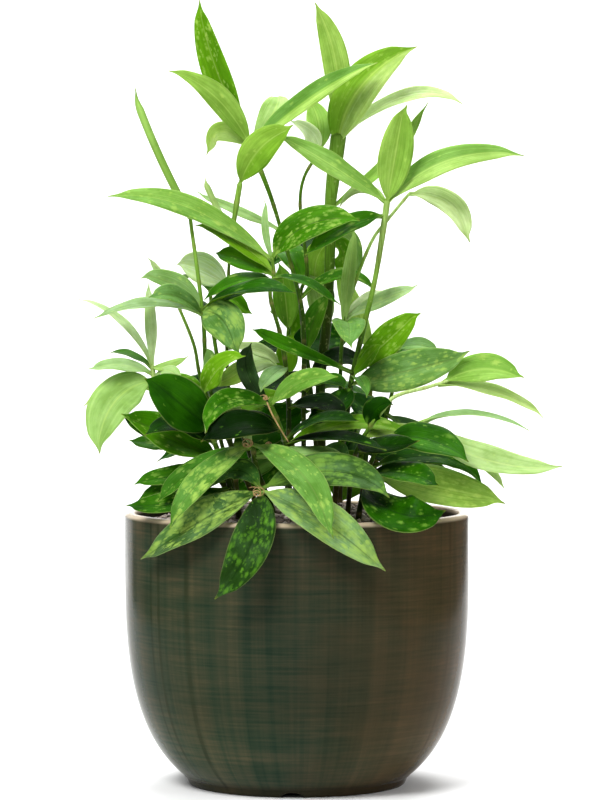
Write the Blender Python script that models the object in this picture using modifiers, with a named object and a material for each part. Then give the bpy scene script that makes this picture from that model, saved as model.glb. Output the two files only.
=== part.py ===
"""Potted gold dust dracaena: a turned, glazed pot filled with planting mix, and a clump of leafy shoots.

Units are metres, +Z is up, and the front of the plant looks along -Y. The origin is the middle of the
foot's flat underside, on the surface that the pot stands on. Sizes in the tables are millimetres.
"""
import math

import bmesh
import bpy
from mathutils import Vector
from mathutils.bvhtree import BVHTree

MM = 0.001
TITLE = "potted_gold_dust_dracaena"

# Pot: the wall is upright at the rim and rounds in to a small foot
POT_HEIGHT = 163.5
POT_RADIUS = 103.4
POT_CORE = 12.0
POT_CURVE_TOP = 130.0
POT_CURVE_DEPTH = 138.0
POT_CURVE_POWER = 2.8
POT_WALL = 7.5
POT_FLOOR = 9.0
POT_OUTER_HEIGHTS = (100.0, 68.0, 44.0, 26.0, 14.0, 7.5)
POT_INNER_HEIGHTS = (18.0, 38.0, 75.0)
LIP_ROUND = 3.0
LIP_STEPS = 3
LIP_INNER_SHARE = 0.3
FOOT_FILLET = 1.5
FOOT_HEIGHT = 5.4
FOOT_RADIUS = 66.5
FOOT_DRAFT = 1.5
POT_SIDES = 36
SMOOTH_ANGLE = 35.0
AXIS_WELD = 0.0001
FOOT_NOTCHES = 3
NOTCH_WIDTH = 13.0
NOTCH_HEIGHT = 3.0
NOTCH_REACH = 9.0
NOTCH_TURN = -92.5
NOTCH_SIDES = 8

# Planting mix: a gentle mound with a coarse relief
SOIL_EDGE = 154.0
SOIL_MOUND = 12.0
SOIL_GAP = 0.3
SOIL_RINGS = 5
SOIL_RELIEF = 1.1
SOIL_SLOPE_POWER = 2.4
SOIL_RELIEF_FADE = 6

# Its relief is two crossed waves, each bent sideways by the other direction (radians per millimetre)
WAVE_ACROSS = 0.31
WAVE_BACK = 0.27
BEND_ACROSS = 0.11
BEND_BACK = 0.13
ACROSS_BENT_BY = 1.7
BACK_BENT_BY = 1.3

# Shoots
STEM_DEPTH = 26.0
STEM_POINTS = 2
STEM_TOP_MARGIN = 1.5
STEM_WELD = 0.00001
CURVE_STEPS = 12
HOLE_GAP = 0.3
BLADE_THICKNESS = 0.9
STALK_HALF_WIDTH = 1.3
TIP_HALF_WIDTH = 0.6
STALK_SHARE = 0.05
BASE_POWER = 0.75
TIP_POWER = 0.9
SHORT_STATIONS = (0.0, 0.13, 0.4, 0.74, 1.0)
STATIONS = (0.0, 0.1, 0.28, 0.5, 0.77, 1.0)
LONG_STATIONS = (0.0, 0.08, 0.22, 0.4, 0.6, 0.82, 1.0)
BLADE_FOLD = 12.0
SHORT_BLADE = 54.0
LONG_BLADE = 90.0
CLEARANCE = 0.8

# The eye from which the clump was measured: places in the tables below are where each point shows
# in the upright plane through the pot's axis, with its real depth behind that plane as third number
EYE = Vector((0.0, -2230.0, 320.0))

# Each shoot: foot in the soil (x, y), stem radius at foot and top, places up the stem, and its leaves.
# Each leaf: height of its base on the stem, middle, tip, width, and how far its face looks up (degrees)
# and to the right. Places are (across, up, back).
SHOOTS = {
    "shoot_front_upper": {
        "foot": (-14, -40), "radius": (2.3, 1.7),
        "stem": [(-24, 188, -52), (-27, 205, -58)],
        "leaves": [
            (204, (-56, 184, -84), (-77.5, 154, -92), 17, 30, -0.25),
            (204, (4, 184.5, -98), (20, 147, -125), 21, 30, 0.2),
            (202, (-62, 188, -62), (-83, 169, -70), 17, 45, -0.3),
            (200, (-42, 224, -62), (-57, 211, -74), 15, 50, -0.1),
            (196, (12, 196, -62), (30, 190, -74), 18, 50, 0.1),
        ],
    },
    "shoot_front_lower": {
        "foot": (-16, -62), "radius": (2.3, 1.8),
        "stem": [(-21, 170, -74), (-22, 178, -78)],
        "leaves": [
            (176, (-27.5, 144, -114), (-49, 110, -113), 25, 15, -0.1),
            (176, (15, 157.5, -108), (53, 127, -101), 29, 35, 0.3),
            (176, (-58, 157.5, -88), (-94, 134, -64), 27, 40, -0.4),
            (178, (22, 187.5, -82), (56, 172, -101), 26, 38, 0.2),
            (178, (-38, 188, -66), (-60, 173, -82), 18, 50, -0.2),
        ],
    },
    "shoot_left_low": {
        "foot": (-36, -24), "radius": (2.8, 1.6),
        "stem": [(-52, 192, -30), (-70, 207, -34), (-83, 229, -32), (-87, 252, -30)],
        "leaves": [
            (242, (-109.5, 229, -41), (-120, 198, -54), 30, 20, -0.3),
            (238, (-108, 236, -22), (-128, 228, -12), 12, 40, -0.4),
            (251, (-105, 277.3, -30), (-131, 291.5, -32), 8, 60, 0.1),
            (251, (-87.5, 277, -28), (-89.5, 301, -24), 8, 10, -0.3),
            (250, (-101, 258, -26), (-112, 259, -20), 8, 65, 0),
            (246, (-107, 251.5, -36), (-124, 248, -44), 12, 50, 0),
            (250, (-77, 251, -38), (-65.5, 256, -46), 9, 40, 0.2),
            (244, (-77, 248, -44), (-70, 240.5, -56), 10, 40, 0),
            (209, (-85, 213, -42), (-106, 221, -46), 21, 35, -0.1),
            (205, (-84, 204.5, -26), (-101, 206, -22), 15, 55, -0.1),
        ],
    },
    "shoot_left_bottom": {
        "foot": (-34, -46), "radius": (2.4, 1.6),
        "stem": [(-42, 184, -50), (-50, 207, -50), (-57, 235, -46)],
        "leaves": [
            (234, (-46, 250, -56), (-32, 256, -72), 18, 35, 0.2),
            (212, (-71, 229, -54), (-90.5, 244.5, -50), 31, 25, -0.2),
            (234, (-52, 250, -40), (-54, 262, -30), 9, 20, 0),
            (194, (-78, 209.5, -44), (-105, 221, -42), 26, 40, -0.2),
            (188, (-74, 184.5, -44), (-98, 181, -42), 17, 50, -0.1),
            (182, (-73, 178, -46), (-97, 168, -40), 21, 50, -0.2),
            (178, (-76, 168.5, -64), (-102, 168, -54), 17, 45, -0.2),
            (203, (-70, 215, -38), (-91, 209, -34), 20, 50, -0.1),
            (206, (-28, 216, -68), (-12, 212, -82), 19, 45, 0.1),
        ],
    },
    "shoot_left_slim": {
        "foot": (-36, 4), "radius": (1.7, 1.1),
        "stem": [(-49, 218, 0), (-58, 244, -2), (-62, 264, -4), (-72, 289, -6)],
        "leaves": [
            (288, (-80, 303, -8), (-89, 316, -12), 6, 20, -0.5),
            (236, (-74, 240, 10), (-92, 236, 22), 18, 50, 0),
            (214, (-70, 206, 8), (-87, 202, 12), 18, 60, 0),
        ],
    },
    "shoot_left_tall": {
        "foot": (-24, -8), "radius": (1.9, 1.3),
        "stem": [
            (-46, 218, -20), (-54, 245, -26), (-56, 276, -28),
            (-59, 303, -28), (-63, 332, -26), (-64, 341, -25),
        ],
        "leaves": [
            (340, (-83, 377.5, -24), (-98.5, 416.5, -22), 7, 12, -0.5),
            (283, (-90, 287, -34), (-121, 279, -40), 19, 72, 0),
            (286, (-74, 300, -34), (-94, 305, -40), 16, 40, -0.2),
            (281, (-73, 293, -46), (-88, 291, -56), 15, 35, 0),
            (284, (-44, 277.5, -48), (-36.5, 257.5, -58), 25, 12, 0.1),
            (285, (-29, 297, -46), (-1, 294, -54), 20, 60, 0.2),
            (283, (-40, 293, -36), (-18, 299, -36), 13, 65, 0),
            (238, (-35, 247, -20), (-29, 255, -14), 13, 25, 0.2),
        ],
    },
    "shoot_centre_left": {
        "foot": (-18, 10), "radius": (1.7, 1.1),
        "stem": [(-38, 225, 2), (-42, 256, -4), (-41, 307, -8), (-38, 336, -8), (-34, 361, -8)],
        "leaves": [
            (361, (-22, 381, -22), (-2, 393.5, -34), 21, 15, 0.1),
            (299, (-57, 309, -12), (-72, 312.5, -16), 21, 25, 0),
            (328, (-48.5, 346.5, -10), (-56, 363, -12), 6, 20, -0.3),
            (262, (-22, 259, 12), (-11, 252, 20), 14, 45, 0),
            (240, (-24, 252, 14), (-12, 252, 28), 18, 50, 0),
            (226, (-54, 236, 18), (-72, 228, 30), 20, 60, 0),
        ],
    },
    "shoot_top_left": {
        "foot": (4, 6), "radius": (2.1, 1.3),
        "stem": [(4, 230, 4), (4, 271, 4), (2, 290, 4), (-6, 320, 6), (-16, 353, 8), (-28, 383, 10)],
        "leaves": [
            (383, (-48.3, 428.5, 6), (-59, 469.5, 0), 19, 8, -0.5),
            (383, (-48.5, 411.5, 4), (-77, 428, -2), 18, 42, -0.3),
            (381, (-46, 391, 16), (-52.5, 376.5, 28), 14, 25, -0.3),
            (382, (-13.5, 404, 18), (-12, 412, 32), 17, 40, 0),
            (382, (9, 412, 4), (48, 433, -6), 19, 45, -0.2),
            (332, (-36, 344, 10), (-60, 354, 8), 8, 45, 0),
            (248, (-10, 240, -2), (-21, 234, -16), 12, 60, 0),
            (236, (18, 242, -6), (30, 238, -16), 15, 55, 0),
        ],
    },
    "shoot_centre_slim": {
        "foot": (14, 22), "radius": (1.7, 1.1),
        "stem": [(8, 240, 22), (2, 290, 20), (6, 308, 18), (2, 343, 18), (4, 363, 18), (14, 380, 18)],
        "leaves": [
            (379, (7, 390, 12), (-4, 397, 2), 13, 40, -0.2),
            (378, (13, 396, 30), (7, 410, 36), 16, 20, 0.1),
            (292, (27, 305, 12), (47, 296, 6), 15, 60, 0.1),
            (300, (-4, 318, 30), (-12, 316, 46), 18, 45, 0),
            (258, (10, 278, 16), (20, 294, 10), 14, 12, -0.4),
            (246, (26, 256, 32), (42, 248, 46), 18, 55, 0),
            (232, (-8, 238, 34), (-22, 228, 48), 19, 60, 0),
        ],
    },
    "shoot_top_right": {
        "foot": (16, 40), "radius": (3.4, 4.2),
        "stem": [(14, 235, 34), (18, 280, 30), (20, 325, 28), (20, 348, 27), (25, 390, 24)],
        "leaves": [
            (388, (23, 433, 20), (10, 468, 12), 17, 8, 0.1),
            (380, (37.5, 417, 14), (71.5, 442.5, 6), 28, 20, -0.2),
            (386, (64, 411.2, 22), (99.5, 408.5, 16), 17, 60, 0),
            (346, (56, 374, 34), (77, 409, 40), 13, 45, -0.5),
            (325, (12, 315, 36), (11, 297, 42), 17, 20, -0.2),
            (324, (28, 318, 38), (27, 298, 44), 16, 20, 0.2),
            (336, (33, 325, 46), (36, 305, 54), 11, 15, 0.4),
            (270, (14, 290, 44), (8, 306, 50), 17, 12, 0),
            (238, (34, 236, 46), (54, 224, 58), 20, 60, 0),
        ],
    },
    "shoot_right_tall": {
        "foot": (22, -6), "radius": (2.2, 1.8),
        "stem": [
            (30, 222, -14), (33, 244, -18), (40, 274, -18),
            (47, 304, -16), (52, 335, -14), (54, 350, -13),
        ],
        "leaves": [
            (349, (20, 371.5, -18), (-12, 389.5, -26), 18, 45, 0.1),
            (348, (59, 378.5, -22), (64, 407.5, -28), 22, 8, 0.1),
            (348, (89, 373.5, -20), (136, 377.5, -26), 18, 36, 0.1),
            (349, (38.5, 356.5, -4), (25, 346, 4), 10, 50, 0),
            (341, (29, 333.5, -24), (5, 317, -30), 20, 55, -0.1),
            (240, (67, 248, -38), (104, 258, -54), 25, 20, 0.1),
            (248, (55, 266.5, -26), (73, 284, -34), 20, 15, -0.2),
            (245, (43, 256, -30), (50, 264, -38), 9, 30, 0),
            (242, (38, 243, -38), (43, 232, -52), 10, 45, 0.2),
            (238, (22, 226, -36), (4, 214, -50), 19, 55, 0),
            (247, (-6, 263, -44), (-26, 273.5, -50), 12, 40, -0.1),
            (206, (20, 192, -34), (12, 176, -46), 20, 30, 0),
        ],
    },
    "shoot_right_arching": {
        "foot": (26, 12), "radius": (1.7, 1.1),
        "stem": [(26, 235, 6), (27, 265, 4), (32, 292, 4), (44, 324, 6), (54, 338, 6), (68, 355, 6)],
        "leaves": [
            (354, (91, 347, 0), (102, 325, -8), 21, 32, 0.6),
            (279, (53, 291, 0), (72, 298, -6), 12, 40, 0),
            (281, (44, 291, 14), (55, 295.5, 24), 12, 50, 0),
            (277, (31, 275, -34), (31, 262, -62), 21, 78, 0),
            (273, (31, 304, 0), (35, 334, -4), 9, 5, -0.4),
        ],
    },
    "shoot_centre_broad": {
        "foot": (-6, -22), "radius": (1.9, 1.3),
        "stem": [(-5, 228, -24), (-9, 265, -24), (-16, 292, -22), (-14, 305, -20), (-15, 317, -19)],
        "leaves": [
            (316, (6, 335, -26), (38, 339, -34), 24, 32, -0.1),
            (314, (-65.5, 346, -26), (-113, 352, -34), 18, 42, 0),
            (307, (-37, 326, -24), (-61, 336, -30), 13, 40, 0),
            (305, (-34, 315, -14), (-49, 318, -6), 16, 35, 0),
            (304, (6, 301, -28), (25, 287, -34), 10, 65, 0),
            (302, (-35, 302, -20), (-56, 291, -20), 15, 60, -0.1),
            (314, (-19, 333, -16), (-18, 350, -10), 5, 10, 0),
            (250, (-14, 246, -40), (-23, 235.5, -56), 13, 50, -0.1),
            (234, (-30, 228, -32), (-50, 220, -34), 20, 50, 0),
            (226, (14, 228, -36), (30, 220, -44), 19, 50, 0),
        ],
    },
    "shoot_middle_low": {
        "foot": (-4, -44), "radius": (2.0, 1.4),
        "stem": [(-5, 190, -48), (-8, 208, -50), (-16, 229, -52)],
        "leaves": [
            (227, (-42, 230, -64), (-55.5, 211, -82), 16, 35, -0.1),
            (228, (3, 241.5, -62), (24, 243.5, -72), 17, 40, 0),
            (212, (-32, 216, -46), (-58, 206, -44), 22, 40, 0),
            (206, (15, 219, -62), (36, 217, -80), 17, 60, 0),
            (203, (35, 216, -50), (75, 206, -62), 18, 65, 0.1),
            (222, (-30, 248, -42), (-26, 263.5, -38), 12, 15, -0.2),
            (204, (24, 208, -70), (53, 200, -92), 16, 60, 0.2),
            (196, (-20, 192, -62), (-35, 182, -72), 19, 40, -0.1),
            (196, (16, 194, -58), (40, 184, -72), 21, 45, 0.1),
        ],
    },
    "shoot_right_low": {
        "foot": (30, -34), "radius": (1.9, 1.2),
        "stem": [(36, 200, -44), (52, 225, -50), (60, 233, -50), (78, 238, -50), (91, 242, -50)],
        "leaves": [
            (241, (111.5, 249, -52), (135.5, 243, -62), 21, 32, 0.1),
            (240, (119.5, 235, -48), (148.5, 220.5, -48), 14, 60, 0.2),
            (214, (47, 225, -50), (58, 229, -56), 14, 30, 0),
            (206, (51, 203, -66), (73, 205, -84), 20, 40, 0),
            (208, (68, 210, -28), (94, 204, -20), 20, 55, 0.1),
            (200, (64, 194, -44), (92, 184, -42), 21, 55, 0.2),
        ],
    },
    "shoot_right_bottom": {
        "foot": (36, -48), "radius": (2.1, 1.3),
        "stem": [(44, 192, -60), (56, 208, -66), (79, 219, -68)],
        "leaves": [
            (217, (106, 221.8, -70), (140, 212.4, -74), 13, 75, 0),
            (216, (113.5, 194.5, -76), (159.5, 190, -82), 20, 38, 0.1),
            (213, (107, 194, -64), (124, 176.5, -60), 11, 60, 0.2),
            (206, (77, 207, -78), (104, 194, -94), 24, 38, 0.1),
            (188, (85.5, 178, -74), (125, 170, -70), 26, 27, 0.2),
            (180, (60, 162.5, -98), (90, 163, -98), 28, 30, 0.2),
            (190, (88, 196, -54), (112, 178, -44), 20, 55, 0.1),
            (186, (66, 186, -92), (84, 178, -108), 21, 40, 0.1),
        ],
    },
    "shoot_right_hidden": {
        "foot": (42, 8), "radius": (2.0, 1.2),
        "stem": [(50, 205, 10), (58, 240, 8), (60, 262, 6)],
        "leaves": [
            (261, (72, 263.5, 2), (85, 259.5, -6), 13, 50, 0.1),
            (258, (70, 262, 22), (82, 259, 38), 15, 55, 0),
            (216, (42, 225, 16), (30, 235, 24), 18, 40, 0),
            (222, (76, 208, -8), (98, 198, -14), 20, 60, 0.1),
            (210, (80, 200, 10), (102, 188, 8), 20, 60, 0.2),
            (204, (76, 194, 28), (98, 180, 38), 20, 65, 0.2),
        ],
    },
    "shoot_back_left": {
        "foot": (-36, 38), "radius": (2.2, 1.3),
        "stem": [(-40, 205, 44), (-45, 240, 50), (-50, 270, 54), (-52, 296, 56)],
        "leaves": [
            (295, (-58, 304, 66), (-68, 303, 84), 18, 84, 0),
            (294, (-41, 292, 66), (-27, 281, 76), 20, 45, 0),
            (282, (-64, 288, 62), (-80, 287, 76), 19, 84, 0),
            (266, (-44, 272, 84), (-42, 262, 106), 22, 84, 0),
            (246, (-62, 240, 60), (-82, 232, 66), 20, 62, 0),
            (236, (-50, 232, 84), (-58, 220, 106), 22, 84, -0.2),
            (214, (-60, 206, 58), (-84, 194, 70), 24, 55, -0.2),
            (202, (-17, 215, 46), (8, 225, 42), 26, 20, 0),
        ],
    },
    "shoot_back_middle": {
        "foot": (0, 52), "radius": (2.2, 1.3),
        "stem": [(-4, 215, 58), (-6, 250, 60), (-4, 285, 62), (0, 316, 64)],
        "leaves": [
            (315, (8, 324, 72), (22, 322, 84), 19, 60, 0),
            (314, (-10, 315, 76), (-20, 306, 88), 20, 40, 0),
            (300, (12, 300, 80), (23, 286, 92), 20, 45, 0.2),
            (290, (-6, 280, 80), (-3, 263, 97), 22, 50, 0),
            (262, (14, 267, 74), (33, 268, 80), 24, 30, 0),
            (256, (-18, 262, 78), (-32, 252, 92), 20, 50, -0.1),
            (204, (-20, 192, 68), (-40, 175, 76), 30, 20, 0),
            (228, (-8, 217, 76), (-14, 201, 92), 26, 40, 0),
            (272, (-7, 292, 54), (-10, 313, 52), 17, 15, 0),
            (244, (-6, 257, 54), (-3, 271, 52), 15, 15, 0),
        ],
    },
    "shoot_back_right": {
        "foot": (40, 36), "radius": (2.2, 1.3),
        "stem": [(42, 205, 42), (44, 235, 46), (46, 262, 48)],
        "leaves": [
            (261, (56, 270, 58), (66, 273, 70), 16, 75, 0),
            (258, (34, 284, 50), (24, 312, 50), 14, 12, 0),
            (248, (62, 248, 62), (80, 245, 76), 20, 84, 0),
            (220, (36, 211, 64), (28, 197, 78), 25, 30, 0),
            (226, (44, 224, 72), (46, 210, 98), 22, 75, 0.1),
            (214, (70, 208, 54), (94, 198, 60), 22, 72, 0.3),
            (206, (62, 196, 78), (74, 178, 100), 24, 84, 0.2),
            (200, (32, 186, 58), (24, 168, 62), 28, 20, 0),
        ],
    },
}

# A leaf that would cross another piece is bent clear: its tip, then its middle, moves back or forward
TIP_SHIFTS = (0, -7, 7, -14, 14, -21, 21, -28, 28, -35, 35)
MIDDLE_SHIFTS = (0, -5, 5, -10, 10)
STALK_ROWS = 2
OTHER_PIECE_FAULT = 100

# Colours and finish
GLAZE = (0.035, 0.042, 0.03, 1.0)
MIX = (0.16, 0.13, 0.11, 1.0)
LEAF_OLD = (0.035, 0.12, 0.02, 1.0)
LEAF_NEW = (0.16, 0.38, 0.06, 1.0)
GLAZE_ROUGHNESS = 0.12
MIX_ROUGHNESS = 0.9
OLD_LEAF_ROUGHNESS = 0.35
NEW_LEAF_ROUGHNESS = 0.4
YOUNG_SHOOT_TOP = 330.0


def clear_scene():
    for thing in list(bpy.context.scene.objects):
        bpy.data.objects.remove(thing, do_unlink=True)


def new_collection(name):
    collection = bpy.data.collections.new(name)
    bpy.context.scene.collection.children.link(collection)
    return collection


def plain_material(name, colour, roughness):
    material = bpy.data.materials.new(name)
    material.use_nodes = True
    shader = material.node_tree.nodes["Principled BSDF"]
    shader.inputs["Base Color"].default_value = colour
    shader.inputs["Roughness"].default_value = roughness
    shader.inputs["Metallic"].default_value = 0.0
    return material


def new_object(name, mesh, collection):
    thing = bpy.data.objects.new(name, mesh)
    collection.objects.link(thing)
    return thing


def as_cutter(thing):
    thing.hide_render = True
    thing.display_type = "WIRE"


def drop_object(thing):
    bpy.data.objects.remove(thing, do_unlink=True)


def apply_modifiers(thing):
    """Make the evaluated shape the object's own mesh."""
    shape = bpy.context.evaluated_depsgraph_get()
    shape.update()
    mesh = bpy.data.meshes.new_from_object(thing.evaluated_get(shape))
    thing.modifiers.clear()
    thing.data = mesh


def smooth(thing, angle):
    thing.data.shade_smooth()
    thing.data.set_sharp_from_angle(angle=math.radians(angle))


def turned(name, profile, sides, collection):
    """A profile of (radius, height) in millimetres, down the outer side, turned round Z."""
    mesh = bpy.data.meshes.new(name)
    points = [(radius * MM, 0.0, height * MM) for radius, height in profile]
    mesh.from_pydata(points, [(i, i + 1) for i in range(len(points) - 1)], [])
    thing = new_object(name, mesh, collection)
    screw = thing.modifiers.new("turn", "SCREW")
    screw.steps = sides
    screw.render_steps = sides
    screw.use_merge_vertices = True
    screw.merge_threshold = AXIS_WELD
    return thing


def outer_radius(height):
    """The pot's outer radius: a rounded curve below, upright above."""
    drop = max(0.0, (POT_CURVE_TOP - height) / POT_CURVE_DEPTH)
    return POT_CORE + (POT_RADIUS - POT_CORE) * (1.0 - drop ** POT_CURVE_POWER) ** (1.0 / POT_CURVE_POWER)


def inner_radius(height):
    """The pot's inner radius, one wall inside the outer one."""
    drop = max(0.0, (POT_CURVE_TOP - height) / (POT_CURVE_TOP - POT_FLOOR))
    reach = POT_RADIUS - POT_WALL - POT_CORE
    return POT_CORE + reach * max(0.0, 1.0 - drop ** POT_CURVE_POWER) ** (1.0 / POT_CURVE_POWER)


def pot_inside():
    """The inside of the pot, from the middle of its floor up to below the rim."""
    inside = [(0.0, POT_FLOOR), (inner_radius(POT_FLOOR + 1.0), POT_FLOOR)]
    for height in POT_INNER_HEIGHTS:
        inside.append((inner_radius(height), height))
    inside.append((POT_RADIUS - POT_WALL, POT_HEIGHT - LIP_ROUND))
    return inside


def pot_profile():
    top = POT_HEIGHT - LIP_ROUND
    profile = []
    for step in range(LIP_STEPS + 1):
        turn = math.radians(90.0 * step / LIP_STEPS)
        out = LIP_ROUND * math.sin(turn)
        up = LIP_ROUND * math.cos(turn)
        profile.append((POT_RADIUS - LIP_ROUND + out, top + up))
    for height in POT_OUTER_HEIGHTS:
        profile.append((outer_radius(height), height))
    profile.append((FOOT_RADIUS + FOOT_FILLET, FOOT_HEIGHT))
    profile.append((FOOT_RADIUS - FOOT_DRAFT, 0.0))
    profile.append((0.0, 0.0))
    inner_lip = LIP_ROUND * LIP_INNER_SHARE
    lip = (POT_RADIUS - POT_WALL + inner_lip, POT_HEIGHT - inner_lip)
    return profile + pot_inside() + [lip, profile[0]]


def make_pot(parts, cutters):
    pot = turned("pot", pot_profile(), POT_SIDES, parts)
    for index in range(FOOT_NOTCHES):
        turn = math.radians(NOTCH_TURN + 360.0 * index / FOOT_NOTCHES)
        bpy.ops.mesh.primitive_cylinder_add(
            vertices=NOTCH_SIDES,
            radius=NOTCH_WIDTH / 2 * MM,
            depth=2 * NOTCH_REACH * MM,
            location=(FOOT_RADIUS * MM * math.cos(turn), FOOT_RADIUS * MM * math.sin(turn), 0.0),
            rotation=(math.radians(90.0), 0.0, turn + math.radians(90.0)),
        )
        cutter = bpy.context.active_object
        cutter.name = "foot_notch_%d" % (index + 1)
        cutter.scale = (1.0, 2 * NOTCH_HEIGHT / NOTCH_WIDTH, 1.0)
        for owner in list(cutter.users_collection):
            owner.objects.unlink(cutter)
        cutters.objects.link(cutter)
        as_cutter(cutter)
        cut = pot.modifiers.new("foot notch", "BOOLEAN")
        cut.operation = "DIFFERENCE"
        cut.object = cutter
    apply_modifiers(pot)
    pot.data.materials.append(plain_material("glazed ceramic", GLAZE, GLAZE_ROUGHNESS))
    smooth(pot, SMOOTH_ANGLE)
    return pot


def soil_height(x, y):
    """The mix's surface, in millimetres: a mound with a coarse relief that fades out at the wall."""
    reach = POT_RADIUS - POT_WALL
    away = min(1.0, math.hypot(x, y) / reach)
    mound = SOIL_EDGE + SOIL_MOUND * (1.0 - away ** SOIL_SLOPE_POWER)
    across = math.sin(x * WAVE_ACROSS + ACROSS_BENT_BY * math.sin(y * BEND_BACK))
    back = math.cos(y * WAVE_BACK + BACK_BENT_BY * math.sin(x * BEND_ACROSS))
    relief = across * back
    return mound + SOIL_RELIEF * relief * (1.0 - away ** SOIL_RELIEF_FADE)


def make_soil(parts):
    profile = []
    edge = POT_RADIUS - POT_WALL - SOIL_GAP
    for ring in range(SOIL_RINGS):
        profile.append((edge * ring / (SOIL_RINGS - 1), SOIL_EDGE))
    for radius, height in reversed(pot_inside()[:-1]):
        profile.append((max(0.0, radius - SOIL_GAP), height + SOIL_GAP))
    soil = turned("substrate", profile, POT_SIDES, parts)
    apply_modifiers(soil)
    for vertex in soil.data.vertices:
        if vertex.co.z > (SOIL_EDGE - SOIL_GAP) * MM:
            vertex.co.z = soil_height(vertex.co.x / MM, vertex.co.y / MM) * MM
    soil.data.materials.append(plain_material("planting mix", MIX, MIX_ROUGHNESS))
    return soil


def seen(across, up, back):
    """The real place, in millimetres, of a point that shows at (across, up) and lies at a given depth."""
    onto = Vector((across, 0.0, up))
    return EYE + (onto - EYE) * ((back - EYE.y) / -EYE.y)


def smooth_route(places, count):
    """Evenly spaced points on a smooth curve through the places."""
    fine = []
    padded = [places[0] * 2 - places[1]] + places + [places[-1] * 2 - places[-2]]
    for i in range(1, len(padded) - 2):
        before, start, end, after = padded[i - 1:i + 3]
        for step in range(CURVE_STEPS):
            t = step / CURVE_STEPS
            fine.append(
                start
                + (end - before) * (t / 2)
                + (before * 2 - start * 5 + end * 4 - after) * (t * t / 2)
                + (start * 3 - before - end * 3 + after) * (t ** 3 / 2)
            )
    fine.append(places[-1].copy())
    lengths = [0.0]
    for a, b in zip(fine, fine[1:]):
        lengths.append(lengths[-1] + (b - a).length)
    points = []
    index = 0
    for step in range(count):
        wanted = lengths[-1] * step / (count - 1)
        while index < len(fine) - 2 and lengths[index + 1] < wanted:
            index += 1
        part = (wanted - lengths[index]) / (lengths[index + 1] - lengths[index])
        points.append(fine[index].lerp(fine[index + 1], min(1.0, part)))
    return points


def stem_route(shoot):
    """The stem's middle line, from its foot in the soil to its top, in millimetres."""
    across, back = shoot["foot"]
    ground = soil_height(across, back)
    places = [Vector((across, back, ground - STEM_DEPTH)), Vector((across, back, ground))]
    places += [seen(*place) for place in shoot["stem"]]
    return smooth_route(places, STEM_POINTS + len(places))


def tube(name, route, radii, collection):
    """A closed six-sided tube along the route, as a mesh."""
    curve = bpy.data.curves.new(name, "CURVE")
    curve.dimensions = "3D"
    curve.bevel_depth = MM
    curve.bevel_resolution = 1
    curve.use_fill_caps = True
    spline = curve.splines.new("POLY")
    spline.points.add(len(route) - 1)
    for index, place in enumerate(route):
        part = index / (len(route) - 1)
        spline.points[index].co = (place.x * MM, place.y * MM, place.z * MM, 1.0)
        spline.points[index].radius = radii[0] + (radii[1] - radii[0]) * part
    path = new_object(name + "_path", curve, collection)
    shape = bpy.context.evaluated_depsgraph_get()
    shape.update()
    mesh = bpy.data.meshes.new_from_object(path.evaluated_get(shape))
    drop_object(path)
    shell = bmesh.new()
    shell.from_mesh(mesh)
    bmesh.ops.remove_doubles(shell, verts=shell.verts, dist=STEM_WELD)
    shell.to_mesh(mesh)
    shell.free()
    return new_object(name, mesh, collection)


def shown_height(place):
    """The height at which a real place shows in the upright plane through the pot's axis."""
    return EYE.z + (place.z - EYE.z) * (-EYE.y / (place.y - EYE.y))


def point_at_height(route, height):
    """The place on the stem's middle line that shows at a given height, a little below its top at most."""
    last = route[-1] + (route[-2] - route[-1]).normalized() * STEM_TOP_MARGIN
    line = route[:-1] + [last]
    for low, high in zip(line, line[1:]):
        bottom, top = shown_height(low), shown_height(high)
        if bottom <= height <= top:
            return low.lerp(high, (height - bottom) / (top - bottom))
    return last


def half_width(part, width):
    """Half the blade's width along its length: a short stalk, a full middle and a drawn-out tip."""
    along = max(0.0, (part - STALK_SHARE) / (1.0 - STALK_SHARE))
    fullest = BASE_POWER / (BASE_POWER + TIP_POWER)
    swell = along ** BASE_POWER * (1.0 - along) ** TIP_POWER
    swell /= fullest ** BASE_POWER * (1.0 - fullest) ** TIP_POWER
    least = STALK_HALF_WIDTH + (TIP_HALF_WIDTH - STALK_HALF_WIDTH) * part
    return max(least, swell * width / 2)


def blade_rows(base, leaf, tip_shift, middle_shift):
    """Rows of left, middle and right points along a blade, with the blade's normal at each row."""
    middle_place, tip_place, width, face_up, face_right = leaf[1:]
    tip = seen(tip_place[0], tip_place[1], tip_place[2] + tip_shift)
    middle = seen(middle_place[0], middle_place[1], middle_place[2] + tip_shift / 2 + middle_shift)
    pull = middle * 2 - (base + tip) / 2
    look = math.radians(face_up)
    face = Vector((face_right, -math.cos(look), math.sin(look)))
    stations = STATIONS
    if (tip - base).length < SHORT_BLADE:
        stations = SHORT_STATIONS
    if (tip - base).length > LONG_BLADE:
        stations = LONG_STATIONS
    rise = math.sin(math.radians(BLADE_FOLD))
    reach = math.cos(math.radians(BLADE_FOLD))
    rows = []
    for part in stations:
        centre = base * (1 - part) ** 2 + pull * (2 * part * (1 - part)) + tip * part ** 2
        along = ((pull - base) * (1 - part) + (tip - pull) * part).normalized()
        normal = (face - along * face.dot(along)).normalized()
        out = along.cross(normal) * half_width(part, width)
        lift = normal * (rise * half_width(part, width))
        rows.append((centre - out * reach + lift, centre, centre + out * reach + lift, normal))
    return rows


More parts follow.
